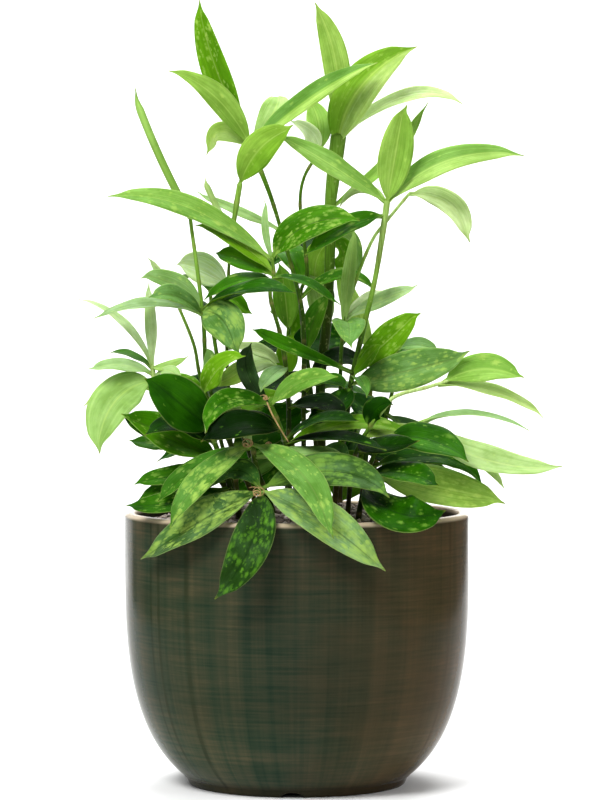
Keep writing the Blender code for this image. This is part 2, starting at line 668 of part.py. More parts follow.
def blade_shell(rows, half_thickness, wider):
    """A closed shell round a blade, as points and faces, for testing what it would cross."""
    points = []
    for left, centre, right, normal in rows:
        side = (right - left).normalized() * wider
        for place in (left - side, centre, right + side):
            points.append(place + normal * half_thickness)
            points.append(place - normal * half_thickness)
    faces = []
    last = len(rows) - 1
    for row in range(last):
        a = row * 6
        b = a + 6
        for column in (0, 2):
            faces.append((a + column, b + column, b + column + 2, a + column + 2))
            faces.append((a + column + 1, a + column + 3, b + column + 3, b + column + 1))
        faces.append((a, a + 1, b + 1, b))
        faces.append((a + 4, b + 4, b + 5, a + 5))
    for a in (0, last * 6):
        faces.append((a, a + 2, a + 3, a + 1))
        faces.append((a + 2, a + 4, a + 5, a + 3))
    return points, faces


def shell_tree(points, faces):
    return BVHTree.FromPolygons(points, faces)


def mesh_tree(thing):
    points = [vertex.co / MM for vertex in thing.data.vertices]
    return BVHTree.FromPolygons(points, [tuple(face.vertices) for face in thing.data.polygons])


def clear_rows(base, leaf, name, placed):
    """The first bend of a leaf that crosses nothing, or else the one that crosses least.

    Against other pieces the whole blade has to be clear, with room to spare. Against its own shoot
    only the blade beyond its stalk counts, and a crossing there is a small fault.
    """
    least = None
    chosen = None
    for middle_shift in MIDDLE_SHIFTS:
        for tip_shift in TIP_SHIFTS:
            rows = blade_rows(base, leaf, tip_shift, middle_shift)
            whole = shell_tree(*blade_shell(rows, BLADE_THICKNESS / 2 + CLEARANCE, CLEARANCE))
            outer = shell_tree(*blade_shell(rows[STALK_ROWS:], BLADE_THICKNESS / 2, 0.0))
            faults = 0
            for owner, tree in placed:
                if owner == name:
                    faults += bool(outer.overlap(tree))
                else:
                    faults += OTHER_PIECE_FAULT * bool(whole.overlap(tree))
            if least is None or faults < least:
                least = faults
                chosen = rows
            if faults == 0:
                return chosen
    return chosen


def make_blade(name, rows, collection):
    """A thin blade: a grid laid along the rows, given its thickness by Solidify."""
    grid = bmesh.new()
    count = len(rows)
    bmesh.ops.create_grid(grid, x_segments=count - 1, y_segments=2, size=1.0)
    grid.verts.ensure_lookup_table()
    order = sorted(grid.verts, key=lambda vertex: (round(vertex.co.x, 4), round(vertex.co.y, 4)))
    for index, vertex in enumerate(order):
        vertex.co = rows[index // 3][index % 3] * MM
    mesh = bpy.data.meshes.new(name)
    grid.to_mesh(mesh)
    grid.free()
    blade = new_object(name, mesh, collection)
    solid = blade.modifiers.new("thickness", "SOLIDIFY")
    solid.thickness = BLADE_THICKNESS * MM
    solid.offset = 0.0
    return blade


def make_shoots(parts, cutters, pot, soil):
    """Stems first, each in its own hole in the mix, then the leaves, bent clear one by one."""
    old_leaf = plain_material("green leaf", LEAF_OLD, OLD_LEAF_ROUGHNESS)
    new_leaf = plain_material("young leaf", LEAF_NEW, NEW_LEAF_ROUGHNESS)
    holes = bpy.data.collections.new("stem_holes")
    cutters.children.link(holes)
    placed = [("pot", mesh_tree(pot)), ("substrate", mesh_tree(soil))]
    stems = {}
    for name, shoot in SHOOTS.items():
        route = stem_route(shoot)
        stem = tube(name, route, shoot["radius"], parts)
        stem.data.materials.append(new_leaf if route[-1].z > YOUNG_SHOOT_TOP else old_leaf)
        stems[name] = (stem, route)
        hole_route = [route[0] - Vector((0.0, 0.0, HOLE_GAP))] + route[1:]
        wider = [radius + HOLE_GAP for radius in shoot["radius"]]
        hole = tube(name + "_hole", hole_route, wider, holes)
        as_cutter(hole)
        placed.append((name, mesh_tree(stem)))
    cut = soil.modifiers.new("stem holes", "BOOLEAN")
    cut.operation = "DIFFERENCE"
    cut.operand_type = "COLLECTION"
    cut.collection = holes
    apply_modifiers(soil)
    for name, shoot in SHOOTS.items():
        stem, route = stems[name]
        blades = new_collection(name + "_blades")
        for index, leaf in enumerate(shoot["leaves"]):
            base = point_at_height(route, leaf[0])
            rows = clear_rows(base, leaf, name, placed)
            placed.append((name, shell_tree(*blade_shell(rows, BLADE_THICKNESS / 2, 0.0))))
            make_blade("%s_blade_%d" % (name, index), rows, blades)
        join = stem.modifiers.new("leaves", "BOOLEAN")
        join.operation = "UNION"
        join.operand_type = "COLLECTION"
        join.collection = blades
        apply_modifiers(stem)
        for blade in list(blades.objects):
            drop_object(blade)
        bpy.data.collections.remove(blades)


def main():
    clear_scene()
    parts = new_collection(TITLE)
    cutters = new_collection("cutters")
    pot = make_pot(parts, cutters)
    soil = make_soil(parts)
    make_shoots(parts, cutters, pot, soil)


main()
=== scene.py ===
import math
import random
from collections import namedtuple

import bmesh
import bpy
import numpy as np
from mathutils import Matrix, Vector
from mathutils.kdtree import KDTree


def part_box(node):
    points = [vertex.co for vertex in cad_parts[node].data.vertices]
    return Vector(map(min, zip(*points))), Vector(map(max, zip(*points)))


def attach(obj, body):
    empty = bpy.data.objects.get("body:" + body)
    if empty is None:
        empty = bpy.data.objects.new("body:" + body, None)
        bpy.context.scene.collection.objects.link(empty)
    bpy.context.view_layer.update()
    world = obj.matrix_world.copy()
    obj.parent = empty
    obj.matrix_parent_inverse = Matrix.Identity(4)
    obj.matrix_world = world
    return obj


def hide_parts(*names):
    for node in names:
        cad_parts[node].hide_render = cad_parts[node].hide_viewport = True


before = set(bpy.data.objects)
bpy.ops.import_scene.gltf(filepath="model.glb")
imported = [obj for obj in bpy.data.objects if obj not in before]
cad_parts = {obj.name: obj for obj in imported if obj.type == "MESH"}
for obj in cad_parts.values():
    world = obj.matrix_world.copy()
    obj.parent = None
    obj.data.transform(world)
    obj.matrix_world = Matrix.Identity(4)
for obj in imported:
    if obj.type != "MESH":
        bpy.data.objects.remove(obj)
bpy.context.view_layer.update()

# Looks of the potted gold dust dracaena. Lengths are millimetres unless a comment says otherwise,
# and the scene is in metres.
MM = 0.001

# The pot's form, as in the frame: upright at the rim, rounded in to a small foot
_, POT_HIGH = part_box("pot")
POT_RADIUS = POT_HIGH.x / MM
POT_HEIGHT = POT_HIGH.z / MM
POT_CORE = 12.0
POT_CURVE_TOP = 130.0
POT_CURVE_DEPTH = 138.0
POT_CURVE_POWER = 2.8
POT_WALL = 7.5
INNER_DEPTHS = (8.0, 16.0, 26.0, 40.0)
LIP_ROUND = 3.0
LIP_STEPS = 9
LIP_INSIDE_STEP = 7
FOOT_HEIGHT = 5.4
FOOT_RADIUS = 66.5
FOOT_DRAFT = 1.5
POT_SIDES = 192
FOOT_NOTCHES = 3
NOTCH_WIDTH = 13.0
NOTCH_HEIGHT = 3.0
NOTCH_REACH = 9.0
NOTCH_TURN = -92.5

# The planting mix's mound, as in the frame, and the loose granules on it
SOIL_EDGE = 154.0
SOIL_MOUND = 12.0
SOIL_SLOPE_POWER = 2.4
SOIL_RELIEF = 1.1
SOIL_RELIEF_FADE = 6.0
GRANULES = 2200
GRANULE_SIZE = (1.1, 2.4)
GRANULE_SQUASH = ((0.8, 1.2), (0.8, 1.2), (0.6, 0.9))
GRANULE_ROUGHNESS = (0.8, 1.2)
GRANULE_RISE = 0.35
GRANULE_TO_WALL = 2.0
GRANULE_TO_STEM = 3.6
GRANULE_SEED = 7

# The eye from which the clump was measured, and what it looks at
EYE = Vector((0.0, -2230.0, 320.0))
AIM = Vector((1.8, 0.0, 230.4))
FRAME_HEIGHT = 480.0
SENSOR = 36.0

# Where a stem leaves the mound (across, back), its radius low and high, the places at which it shows
# (across, up, back), its leaves, how light and how ringed it is at its top, and how much it swells there
# where wide leaf sheaths wrap it
Shoot = namedtuple("Shoot", "foot radii stem leaves age ringed sheath", defaults=(0.45, 1.0, 0.0))
# The height at which a leaf's base shows, where its middle and tip show, its width, how far its face
# looks up (degrees) and to the right, its age (0 old, 1 new), how spotted it is, and how much painted sheen
# it has. Then, for some, the radius to which a new leaf is still rolled up, and how much paler one half
# is painted, as painted light on a leaf that is folded along its midrib
LEAF_FIELDS = "base middle tip width face_up face_right age spots haze rolled two_tone"
Leaf = namedtuple("Leaf", LEAF_FIELDS, defaults=(0.0, 0.0))

# Each shoot and its leaves, as in the frame
SHOOTS = {
    "shoot_front_upper": Shoot((-14, -40), (2.3, 1.7), [(-24, 188, -52), (-27, 205, -58)], [
        (204, (-56, 184, -84), (-77.5, 154, -92), 17, 30, -0.25, 0.49, 1.5, 0.15),
        (204, (4, 184.5, -98), (20, 147, -125), 21, 30, 0.2, 0.52, 0.8, 0.2),
        (202, (-62, 188, -62), (-83, 169, -70), 17, 45, -0.3, 0.46, 0.6, 0.05),
        (200, (-42, 224, -62), (-57, 211, -74), 15, 50, -0.1, 0.95, 0.5, 0.5),
        (196, (12, 196, -62), (30, 190, -74), 18, 50, 0.1, 0.65, 0.5, 0.55),
    ]),
    "shoot_front_lower": Shoot((-16, -62), (2.3, 1.8), [(-21, 170, -74), (-22, 178, -78)], [
        (176, (-27.5, 144, -114), (-49, 110, -113), 25, 15, -0.1, 0.13, 1.1, 0.06),
        (176, (15, 157.5, -108), (53, 127, -101), 29, 35, 0.3, 0.48, 1.7, 0.56),
        (176, (-58, 157.5, -88), (-94, 134, -64), 27, 40, -0.4, 0.3, 1.7, 0.22),
        (178, (22, 187.5, -82), (56, 172, -101), 26, 38, 0.2, 0.26, 1.35, 0.18),
        (178, (-38, 188, -66), (-60, 173, -82), 18, 50, -0.2, 0.3, 0.6, 0.1),
    ]),
    "shoot_left_low": Shoot((-36, -24), (2.8, 1.6), [
        (-52, 192, -30), (-70, 207, -34), (-83, 229, -32), (-87, 252, -30),
    ], [
        (242, (-109.5, 229, -41), (-120, 198, -54), 30, 20, -0.3, 0.72, 0.1, 0.45),
        (238, (-108, 236, -22), (-128, 228, -12), 12, 40, -0.4, 0.85, 0, 0.2),
        (251, (-105, 277.3, -30), (-131, 291.5, -32), 8, 60, 0.1, 1, 0, 1.15),
        (251, (-87.5, 277, -28), (-89.5, 301, -24), 8, 10, -0.3, 0.98, 0, 0.95),
        (250, (-101, 258, -26), (-112, 259, -20), 8, 65, 0, 0.4, 0, 0.1),
        (246, (-107, 251.5, -36), (-124, 248, -44), 12, 50, 0, 0.66, 0, 0.9),
        (250, (-77, 251, -38), (-65.5, 256, -46), 9, 40, 0.2, 0.77, 0.1, 0.4),
        (244, (-77, 248, -44), (-70, 240.5, -56), 10, 40, 0, 0.74, 0, 0.6),
        (209, (-85, 213, -42), (-106, 221, -46), 21, 35, -0.1, 0.28, 0.4, 0),
        (205, (-84, 204.5, -26), (-101, 206, -22), 15, 55, -0.1, 0.42, 0.4, 0),
    ], age=0.95, ringed=0.2),
    "shoot_left_bottom": Shoot((-34, -46), (2.4, 1.6), [
        (-42, 184, -50), (-50, 207, -50), (-57, 235, -46),
    ], [
        (234, (-46, 250, -56), (-32, 256, -72), 18, 35, 0.2, 0.6, 0.7, 0),
        (212, (-71, 229, -54), (-90.5, 244.5, -50), 31, 25, -0.2, 0.3, 0.1, 0),
        (234, (-52, 250, -40), (-54, 262, -30), 9, 20, 0, 0.5, 0.3, 0.4),
        (194, (-78, 209.5, -44), (-105, 221, -42), 26, 40, -0.2, 0.5, 0.4, 0),
        (188, (-74, 184.5, -44), (-98, 181, -42), 17, 50, -0.1, 0.38, 0.5, 0),
        (182, (-73, 178, -46), (-97, 168, -40), 21, 50, -0.2, 0.36, 0.5, 0),
        (178, (-76, 168.5, -64), (-102, 168, -54), 17, 45, -0.2, 0.37, 0.6, 0),
        (203, (-70, 215, -38), (-91, 209, -34), 20, 50, -0.1, 0.14, 0.3, 0),
        (206, (-28, 216, -68), (-12, 212, -82), 19, 45, 0.1, 0.02, 0.3, 0),
    ]),
    "shoot_left_slim": Shoot((-36, 4), (1.7, 1.1), [
        (-49, 218, 0), (-58, 244, -2), (-62, 264, -4), (-72, 289, -6),
    ], [
        (288, (-80, 303, -8), (-89, 316, -12), 6, 20, -0.5, 0.95, 0, 0.5),
        (236, (-74, 240, 10), (-92, 236, 22), 18, 50, 0, 0.6, 0.3, 0),
        (214, (-70, 206, 8), (-87, 202, 12), 18, 60, 0, 0.12, 0.3, 0),
    ], age=0.7, ringed=0.5),
    "shoot_left_tall": Shoot((-24, -8), (1.9, 1.3), [
        (-46, 218, -20), (-54, 245, -26), (-56, 276, -28), (-59, 303, -28), (-63, 332, -26),
        (-64, 341, -25),
    ], [
        (340, (-83, 377.5, -24), (-98.5, 416.5, -22), 7, 12, -0.5, 0.68, 0, 0.25, 2.2),
        (283, (-90, 287, -34), (-121, 279, -40), 19, 72, 0, 0.5, 0.3, 0.85),
        (286, (-74, 300, -34), (-94, 305, -40), 16, 40, -0.2, 0.56, 0.6, 0.55),
        (281, (-73, 293, -46), (-88, 291, -56), 15, 35, 0, 0.49, 0.5, 0.3),
        (284, (-44, 277.5, -48), (-36.5, 257.5, -58), 25, 12, 0.1, 0.45, 1.3, 0.28),
        (285, (-29, 297, -46), (-1, 294, -54), 20, 60, 0.2, 0.24, 0.3, 0),
        (283, (-40, 293, -36), (-18, 299, -36), 13, 65, 0, 0.42, 0.3, 0),
        (238, (-35, 247, -20), (-29, 255, -14), 13, 25, 0.2, 0.8, 0.3, 0),
    ], age=0.72, ringed=0.5),
    "shoot_centre_left": Shoot((-18, 10), (1.7, 1.1), [
        (-38, 225, 2), (-42, 256, -4), (-41, 307, -8), (-38, 336, -8), (-34, 361, -8),
    ], [
        (361, (-22, 381, -22), (-2, 393.5, -34), 21, 15, 0.1, 0.73, 0.3, 0),
        (299, (-57, 309, -12), (-72, 312.5, -16), 21, 25, 0, 0.88, 1.4, 1.2),
        (328, (-48.5, 346.5, -10), (-56, 363, -12), 6, 20, -0.3, 0.85, 0, 0.5, 1.7),
        (262, (-22, 259, 12), (-11, 252, 20), 14, 45, 0, 0.95, 0.3, 0.6),
        (240, (-24, 252, 14), (-12, 252, 28), 18, 50, 0, 0.95, 0.3, 0.7),
        (226, (-54, 236, 18), (-72, 228, 30), 20, 60, 0, 0.1, 0.3, 0),
    ], age=0.72, ringed=0.6, sheath=0.9),
    "shoot_top_left": Shoot((4, 6), (2.1, 1.3), [
        (4, 230, 4), (4, 271, 4), (2, 290, 4), (-6, 320, 6), (-16, 353, 8), (-28, 383, 10),
    ], [
        (383, (-48.3, 428.5, 6), (-59, 469.5, 0), 19, 8, -0.5, 0.57, 0.9, 0),
        (383, (-48.5, 411.5, 4), (-77, 428, -2), 18, 42, -0.3, 0.75, 0.2, 0.1),
        (381, (-46, 391, 16), (-52.5, 376.5, 28), 14, 25, -0.3, 0.86, 0.1, 0.1),
        (382, (-13.5, 404, 18), (-12, 412, 32), 17, 40, 0, 0.76, 0, 0.55),
        (382, (9, 412, 4), (48, 433, -6), 19, 45, -0.2, 0.65, 0.1, 0.2, 0.0, 0.13),
        (332, (-36, 344, 10), (-60, 354, 8), 8, 45, 0, 0.68, 0, 0.8),
        (248, (-10, 240, -2), (-21, 234, -16), 12, 60, 0, 0.16, 0.3, 0),
        (236, (18, 242, -6), (30, 238, -16), 15, 55, 0, 0.34, 0.3, 0),
    ], age=0.5, ringed=0.6, sheath=0.4),
    "shoot_centre_slim": Shoot((14, 22), (1.7, 1.1), [
        (8, 240, 22), (2, 290, 20), (6, 308, 18), (2, 343, 18), (4, 363, 18), (14, 380, 18),
    ], [
        (379, (7, 390, 12), (-4, 397, 2), 13, 40, -0.2, 1.2, 0, 1.4),
        (378, (13, 396, 30), (7, 410, 36), 16, 20, 0.1, 0.7, 0.1, 0.2),
        (292, (27, 305, 12), (47, 296, 6), 15, 60, 0.1, 0.44, 1, 0),
        (300, (-4, 318, 30), (-12, 316, 46), 18, 45, 0, 0.48, 0.5, 0),
        (258, (10, 278, 16), (20, 294, 10), 14, 12, -0.4, 0.48, 0.4, 0.04),
        (246, (26, 256, 32), (42, 248, 46), 18, 55, 0, 0, 0.3, 0),
        (232, (-8, 238, 34), (-22, 228, 48), 19, 60, 0, 0.05, 0.3, 0),
    ]),
    "shoot_top_right": Shoot((16, 40), (3.4, 4.2), [
        (14, 235, 34), (18, 280, 30), (20, 325, 28), (20, 348, 27), (25, 390, 24),
    ], [
        (388, (23, 433, 20), (10, 468, 12), 17, 8, 0.1, 0.78, 0.1, 0.1),
        (380, (37.5, 417, 14), (71.5, 442.5, 6), 28, 20, -0.2, 0.78, 0.8, 0, 0.0, 0.1),
        (386, (64, 411.2, 22), (99.5, 408.5, 16), 17, 60, 0, 0.95, 0, 0.5),
        (346, (56, 374, 34), (77, 409, 40), 13, 45, -0.5, 0.7, 0.3, 0.2),
        (325, (12, 315, 36), (11, 297, 42), 17, 20, -0.2, 0.7, 0.5, 0),
        (324, (28, 318, 38), (27, 298, 44), 16, 20, 0.2, 0.56, 0.5, 0),
        (336, (33, 325, 46), (36, 305, 54), 11, 15, 0.4, 0.62, 0.2, 0.4),
        (270, (14, 290, 44), (8, 306, 50), 17, 12, 0, 0.8, 0.3, 0.5),
        (238, (34, 236, 46), (54, 224, 58), 20, 60, 0, 0.3, 0.3, 0),
    ], age=0.62, ringed=0.0, sheath=0.4),
    "shoot_right_tall": Shoot((22, -6), (2.2, 1.8), [
        (30, 222, -14), (33, 244, -18), (40, 274, -18), (47, 304, -16), (52, 335, -14),
        (54, 350, -13),
    ], [
        (349, (20, 371.5, -18), (-12, 389.5, -26), 18, 45, 0.1, 0.68, 0.4, 0.3),
        (348, (59, 378.5, -22), (64, 407.5, -28), 22, 8, 0.1, 0.76, 0.1, 0.1),
        (348, (89, 373.5, -20), (136, 377.5, -26), 18, 36, 0.1, 0.7, 0.2, 0.3, 0.0, 0.08),
        (349, (38.5, 356.5, -4), (25, 346, 4), 10, 50, 0, 0.85, 0.1, 0.5),
        (341, (29, 333.5, -24), (5, 317, -30), 20, 55, -0.1, 0.42, 0.2, 0),
        (240, (67, 248, -38), (104, 258, -54), 25, 20, 0.1, 0.5, 1, 0.35),
        (248, (55, 266.5, -26), (73, 284, -34), 20, 15, -0.2, 0.6, 0.8, 0),
        (245, (43, 256, -30), (50, 264, -38), 9, 30, 0, 0.58, 0.3, 0),
        (242, (38, 243, -38), (43, 232, -52), 10, 45, 0.2, 0.48, 0.2, 0.15),
        (238, (22, 226, -36), (4, 214, -50), 19, 55, 0, 0.2, 0.4, 0),
        (247, (-6, 263, -44), (-26, 273.5, -50), 12, 40, -0.1, 0.4, 0.2, 0),
        (206, (20, 192, -34), (12, 176, -46), 20, 30, 0, 0.44, 0.3, 0),
    ], age=0.85, ringed=0.3, sheath=0.3),
    "shoot_right_arching": Shoot((26, 12), (1.7, 1.1), [
        (26, 235, 6), (27, 265, 4), (32, 292, 4), (44, 324, 6), (54, 338, 6), (68, 355, 6),
    ], [
        (354, (91, 347, 0), (102, 325, -8), 21, 32, 0.6, 0.95, 0, 0.4),
        (279, (53, 291, 0), (72, 298, -6), 12, 40, 0, 0.65, 0.6, 1.05),
        (281, (44, 291, 14), (55, 295.5, 24), 12, 50, 0, 1.2, 0.1, 1.4),
        (277, (31, 275, -34), (31, 262, -62), 21, 78, 0, 0.47, 0.4, 0.2),
        (273, (31, 304, 0), (35, 334, -4), 9, 5, -0.4, 0.74, 0.1, 0.4),
    ], age=0.92, ringed=0.8),
    "shoot_centre_broad": Shoot((-6, -22), (1.9, 1.3), [
        (-5, 228, -24), (-9, 265, -24), (-16, 292, -22), (-14, 305, -20), (-15, 317, -19),
    ], [
        (316, (6, 335, -26), (38, 339, -34), 24, 32, -0.1, 0.48, 1, 0),
        (314, (-65.5, 346, -26), (-113, 352, -34), 18, 42, 0, 0.62, 0.5, 0.25),
        (307, (-37, 326, -24), (-61, 336, -30), 13, 40, 0, 0.65, 0.7, 0),
        (305, (-34, 315, -14), (-49, 318, -6), 16, 35, 0, 0.5, 0.3, 0),
        (304, (6, 301, -28), (25, 287, -34), 10, 65, 0, 0.38, 0.3, 0),
        (302, (-35, 302, -20), (-56, 291, -20), 15, 60, -0.1, 0.44, 0.3, 0),
        (314, (-19, 333, -16), (-18, 350, -10), 5, 10, 0, 0.66, 0, 0.8),
        (250, (-14, 246, -40), (-23, 235.5, -56), 13, 50, -0.1, 0.45, 0.3, 0.5),
        (234, (-30, 228, -32), (-50, 220, -34), 20, 50, 0, 0.62, 0.3, 0),
        (226, (14, 228, -36), (30, 220, -44), 19, 50, 0, 0, 0.3, 0),
    ], age=0.55, ringed=0.9),
    "shoot_middle_low": Shoot((-4, -44), (2.0, 1.4), [(-5, 190, -48), (-8, 208, -50), (-16, 229, -52)], [
        (227, (-42, 230, -64), (-55.5, 211, -82), 16, 35, -0.1, 0.36, 0.8, 0),
        (228, (3, 241.5, -62), (24, 243.5, -72), 17, 40, 0, 0.57, 0.8, 0.15),
        (212, (-32, 216, -46), (-58, 206, -44), 22, 40, 0, 0, 0.1, 0),
        (206, (15, 219, -62), (36, 217, -80), 17, 60, 0, 0.14, 0.4, 0),
        (203, (35, 216, -50), (75, 206, -62), 18, 65, 0.1, 0.68, 0.4, 0),
        (222, (-30, 248, -42), (-26, 263.5, -38), 12, 15, -0.2, 0.1, 0.3, 0.1),
        (204, (24, 208, -70), (53, 200, -92), 16, 60, 0.2, 0.06, 0.3, 0),
        (196, (-20, 192, -62), (-35, 182, -72), 19, 40, -0.1, 0.52, 0.4, 0.2),
        (196, (16, 194, -58), (40, 184, -72), 21, 45, 0.1, 0.12, 0.4, 0),
    ]),
    "shoot_right_low": Shoot((30, -34), (1.9, 1.2), [
        (36, 200, -44), (52, 225, -50), (60, 233, -50), (78, 238, -50), (91, 242, -50),
    ], [
        (241, (111.5, 249, -52), (135.5, 243, -62), 21, 32, 0.1, 0.68, 0.3, 0.2),
        (240, (119.5, 235, -48), (148.5, 220.5, -48), 14, 60, 0.2, 0.88, 0.1, 0.2),
        (214, (47, 225, -50), (58, 229, -56), 14, 30, 0, 0.16, 0.3, 0),
        (206, (51, 203, -66), (73, 205, -84), 20, 40, 0, 0.06, 0.3, 0),
        (208, (68, 210, -28), (94, 204, -20), 20, 55, 0.1, 0.8, 0.4, 0),
        (200, (64, 194, -44), (92, 184, -42), 21, 55, 0.2, 0.14, 0.4, 0),
    ], age=1.5, ringed=0.8),
    "shoot_right_bottom": Shoot((36, -48), (2.1, 1.3), [(44, 192, -60), (56, 208, -66), (79, 219, -68)], [
        (217, (106, 221.8, -70), (140, 212.4, -74), 13, 75, 0, 0.5, 0.1, 0.6),
        (216, (113.5, 194.5, -76), (159.5, 190, -82), 20, 38, 0.1, 0.82, 0.1, 0.75),
        (213, (107, 194, -64), (124, 176.5, -60), 11, 60, 0.2, 0.8, 0.1, 0.5),
        (206, (77, 207, -78), (104, 194, -94), 24, 38, 0.1, 0.34, 0.5, 0),
        (188, (85.5, 178, -74), (125, 170, -70), 26, 27, 0.2, 0.76, 1.4, 0.1),
        (180, (60, 162.5, -98), (90, 163, -98), 28, 30, 0.2, 0.28, 0.5, 0),
        (190, (88, 196, -54), (112, 178, -44), 20, 55, 0.1, 0.34, 0.4, 0),
        (186, (66, 186, -92), (84, 178, -108), 21, 40, 0.1, 0.3, 0.6, 0),
    ], age=0.8, ringed=0.8),
    "shoot_right_hidden": Shoot((42, 8), (2.0, 1.2), [(50, 205, 10), (58, 240, 8), (60, 262, 6)], [
        (261, (72, 263.5, 2), (85, 259.5, -6), 13, 50, 0.1, 0.46, 0.1, 0.4),
        (258, (70, 262, 22), (82, 259, 38), 15, 55, 0, 0.4, 0.2, 0),
        (216, (42, 225, 16), (30, 235, 24), 18, 40, 0, 0.16, 0.3, 0),
        (222, (76, 208, -8), (98, 198, -14), 20, 60, 0.1, 0.3, 0.4, 0.2),
        (210, (80, 200, 10), (102, 188, 8), 20, 60, 0.2, 0.14, 0.4, 0),
        (204, (76, 194, 28), (98, 180, 38), 20, 65, 0.2, 0.12, 0.4, 0),
    ]),
    "shoot_back_left": Shoot((-36, 38), (2.2, 1.3), [
        (-40, 205, 44), (-45, 240, 50), (-50, 270, 54), (-52, 296, 56),
    ], [
        (295, (-58, 304, 66), (-68, 303, 84), 18, 84, 0, 0.3, 0.3, 0),
        (294, (-41, 292, 66), (-27, 281, 76), 20, 45, 0, 0.5, 0.3, 0),
        (282, (-64, 288, 62), (-80, 287, 76), 19, 84, 0, 0.22, 0.4, 0),
        (266, (-44, 272, 84), (-42, 262, 106), 22, 84, 0, 0.16, 0.5, 0),
        (246, (-62, 240, 60), (-82, 232, 66), 20, 62, 0, 0.12, 0.5, 0),
        (236, (-50, 232, 84), (-58, 220, 106), 22, 84, -0.2, 0.1, 0.5, 0),
        (214, (-60, 206, 58), (-84, 194, 70), 24, 55, -0.2, 0.24, 0.5, 0),
        (202, (-17, 215, 46), (8, 225, 42), 26, 20, 0, 0.3, 0.5, 0),
    ]),
    "shoot_back_middle": Shoot((0, 52), (2.2, 1.3), [
        (-4, 215, 58), (-6, 250, 60), (-4, 285, 62), (0, 316, 64),
    ], [
        (315, (8, 324, 72), (22, 322, 84), 19, 60, 0, 0.1, 0.3, 0),
        (314, (-10, 315, 76), (-20, 306, 88), 20, 40, 0, 0.28, 0.3, 0),
        (300, (12, 300, 80), (23, 286, 92), 20, 45, 0.2, 0.2, 0.4, 0),
        (290, (-6, 280, 80), (-3, 263, 97), 22, 50, 0, 0.36, 0.5, 0),
        (262, (14, 267, 74), (33, 268, 80), 24, 30, 0, 0.24, 0.5, 0),
        (256, (-18, 262, 78), (-32, 252, 92), 20, 50, -0.1, 0.1, 0.5, 0),
        (204, (-20, 192, 68), (-40, 175, 76), 30, 20, 0, 0.36, 0.5, 0),
        (228, (-8, 217, 76), (-14, 201, 92), 26, 40, 0, 0.1, 0.5, 0),
        (272, (-7, 292, 54), (-10, 313, 52), 17, 15, 0, 0.62, 0.2, 0.1),
        (244, (-6, 257, 54), (-3, 271, 52), 15, 15, 0, 0.62, 0.2, 0),
    ]),
    "shoot_back_right": Shoot((40, 36), (2.2, 1.3), [(42, 205, 42), (44, 235, 46), (46, 262, 48)], [
        (261, (56, 270, 58), (66, 273, 70), 16, 75, 0, 0.3, 0.3, 0),
        (258, (34, 284, 50), (24, 312, 50), 14, 12, 0, 0.85, 0.2, 0),
        (248, (62, 248, 62), (80, 245, 76), 20, 84, 0, 0.2, 0.4, 0),
        (220, (36, 211, 64), (28, 197, 78), 25, 30, 0, 0.24, 0.5, 0),
        (226, (44, 224, 72), (46, 210, 98), 22, 75, 0.1, 0.1, 0.5, 0),
        (214, (70, 208, 54), (94, 198, 60), 22, 72, 0.3, 0.12, 0.5, 0),
        (206, (62, 196, 78), (74, 178, 100), 24, 84, 0.2, 0.1, 0.5, 0),
        (200, (32, 186, 58), (24, 168, 62), 28, 20, 0, 0.6, 0.5, 0.05),
    ]),
}

# The rules by which a leaf was bent clear of what it would cross, as in the frame
TIP_SHIFTS = (0, -7, 7, -14, 14, -21, 21, -28, 28, -35, 35)
MIDDLE_SHIFTS = (0, -5, 5, -10, 10)
STEM_DEPTH = 26.0
STEM_TOP_MARGIN = 1.5
STALK_SHARE = 0.05
BASE_POWER = 0.75
TIP_POWER = 0.9
SHORT_BLADE = 54.0
LONG_BLADE = 90.0
SHORT_STATIONS = (0.4, 0.74, 1.0)
STATIONS = (0.28, 0.5, 0.77, 1.0)
LONG_STATIONS = (0.22, 0.4, 0.6, 0.82, 1.0)
# A bend counts as nearer to the frame's blade only if it gains this much
BEND_GAIN = 0.01

# Fine blades: rows along, columns across each half, and their thickness
BLADE_ROWS = 30
BLADE_HALF_COLUMNS = 5
BLADE_THICKNESS = 0.45
MIDRIB_THICKNESS = 0.6
STALK_THICKNESS = 1.6
STALK_HALF_WIDTH = 1.35
TIP_HALF_WIDTH = 0.25
# What differs from blade to blade: twist (degrees), hook of the tip, channel (radians), margin waves, and
# tone, with painted light on one half
TWIST = 9
TIP_HOOK = (0.6, 2.0)
CHANNEL = 0.3
CHANNEL_CHANGE = (-0.06, 0.08)
WAVES = (1.4, 2.6)
WAVE_HEIGHT = (0.25, 0.7)
USUAL_WIDTH = 22
PAINTED_HALF_LIGHT = 0.035
AGE_CHANGE = 0.03
# Stretches of a blade, in shares of the way from stalk to tip: where it draws out to a point, where the
# point hooks, where the stalk narrows and gives way to the blade, where the channel is still deep, where
# the stalk is still thick, and where a roll closes
POINT_SPAN = (0.84, 0.97)
HOOK_SPAN = (0.86, 1.0)
STALK_NARROWS = (0.0, 0.4)
STALK_ENDS = (0.1, 0.5)
DEEP_CHANNEL = (0.0, 0.35)
THICK_STALK = (0.0, 0.16)
ROLL_CLOSES = (0.82, 1.0)
TWIST_CENTRE = 0.3
# Across a blade: the rounding of the channel's bottom, how much the margins droop and thin, the rib's
# width, and how far the waves of the two margins are out of step (radians)
CHANNEL_ROUND = 0.004
CHANNEL_LOW = 0.063
MARGIN_DROOP = 0.1
MARGIN_THINNING = 0.35
RIB_WIDTH = 0.16
WAVE_SHIFT = 2.1

# Stems
STEM_SIDES = 14
STEM_STEP = 1.6
FIRST_NODE = (6, 14)
NODE_SPACING = (15.0, 24.0)
NODE_SWELL = 0.22
NODE_LENGTH = 1.2
STEM_SLIMMING = 0.86
STEM_END = 0.6
STEM_LOW_AGE = 0.22
# Each shoot draws from a seed of its own, counted up from here
SHOOT_SEED = 100
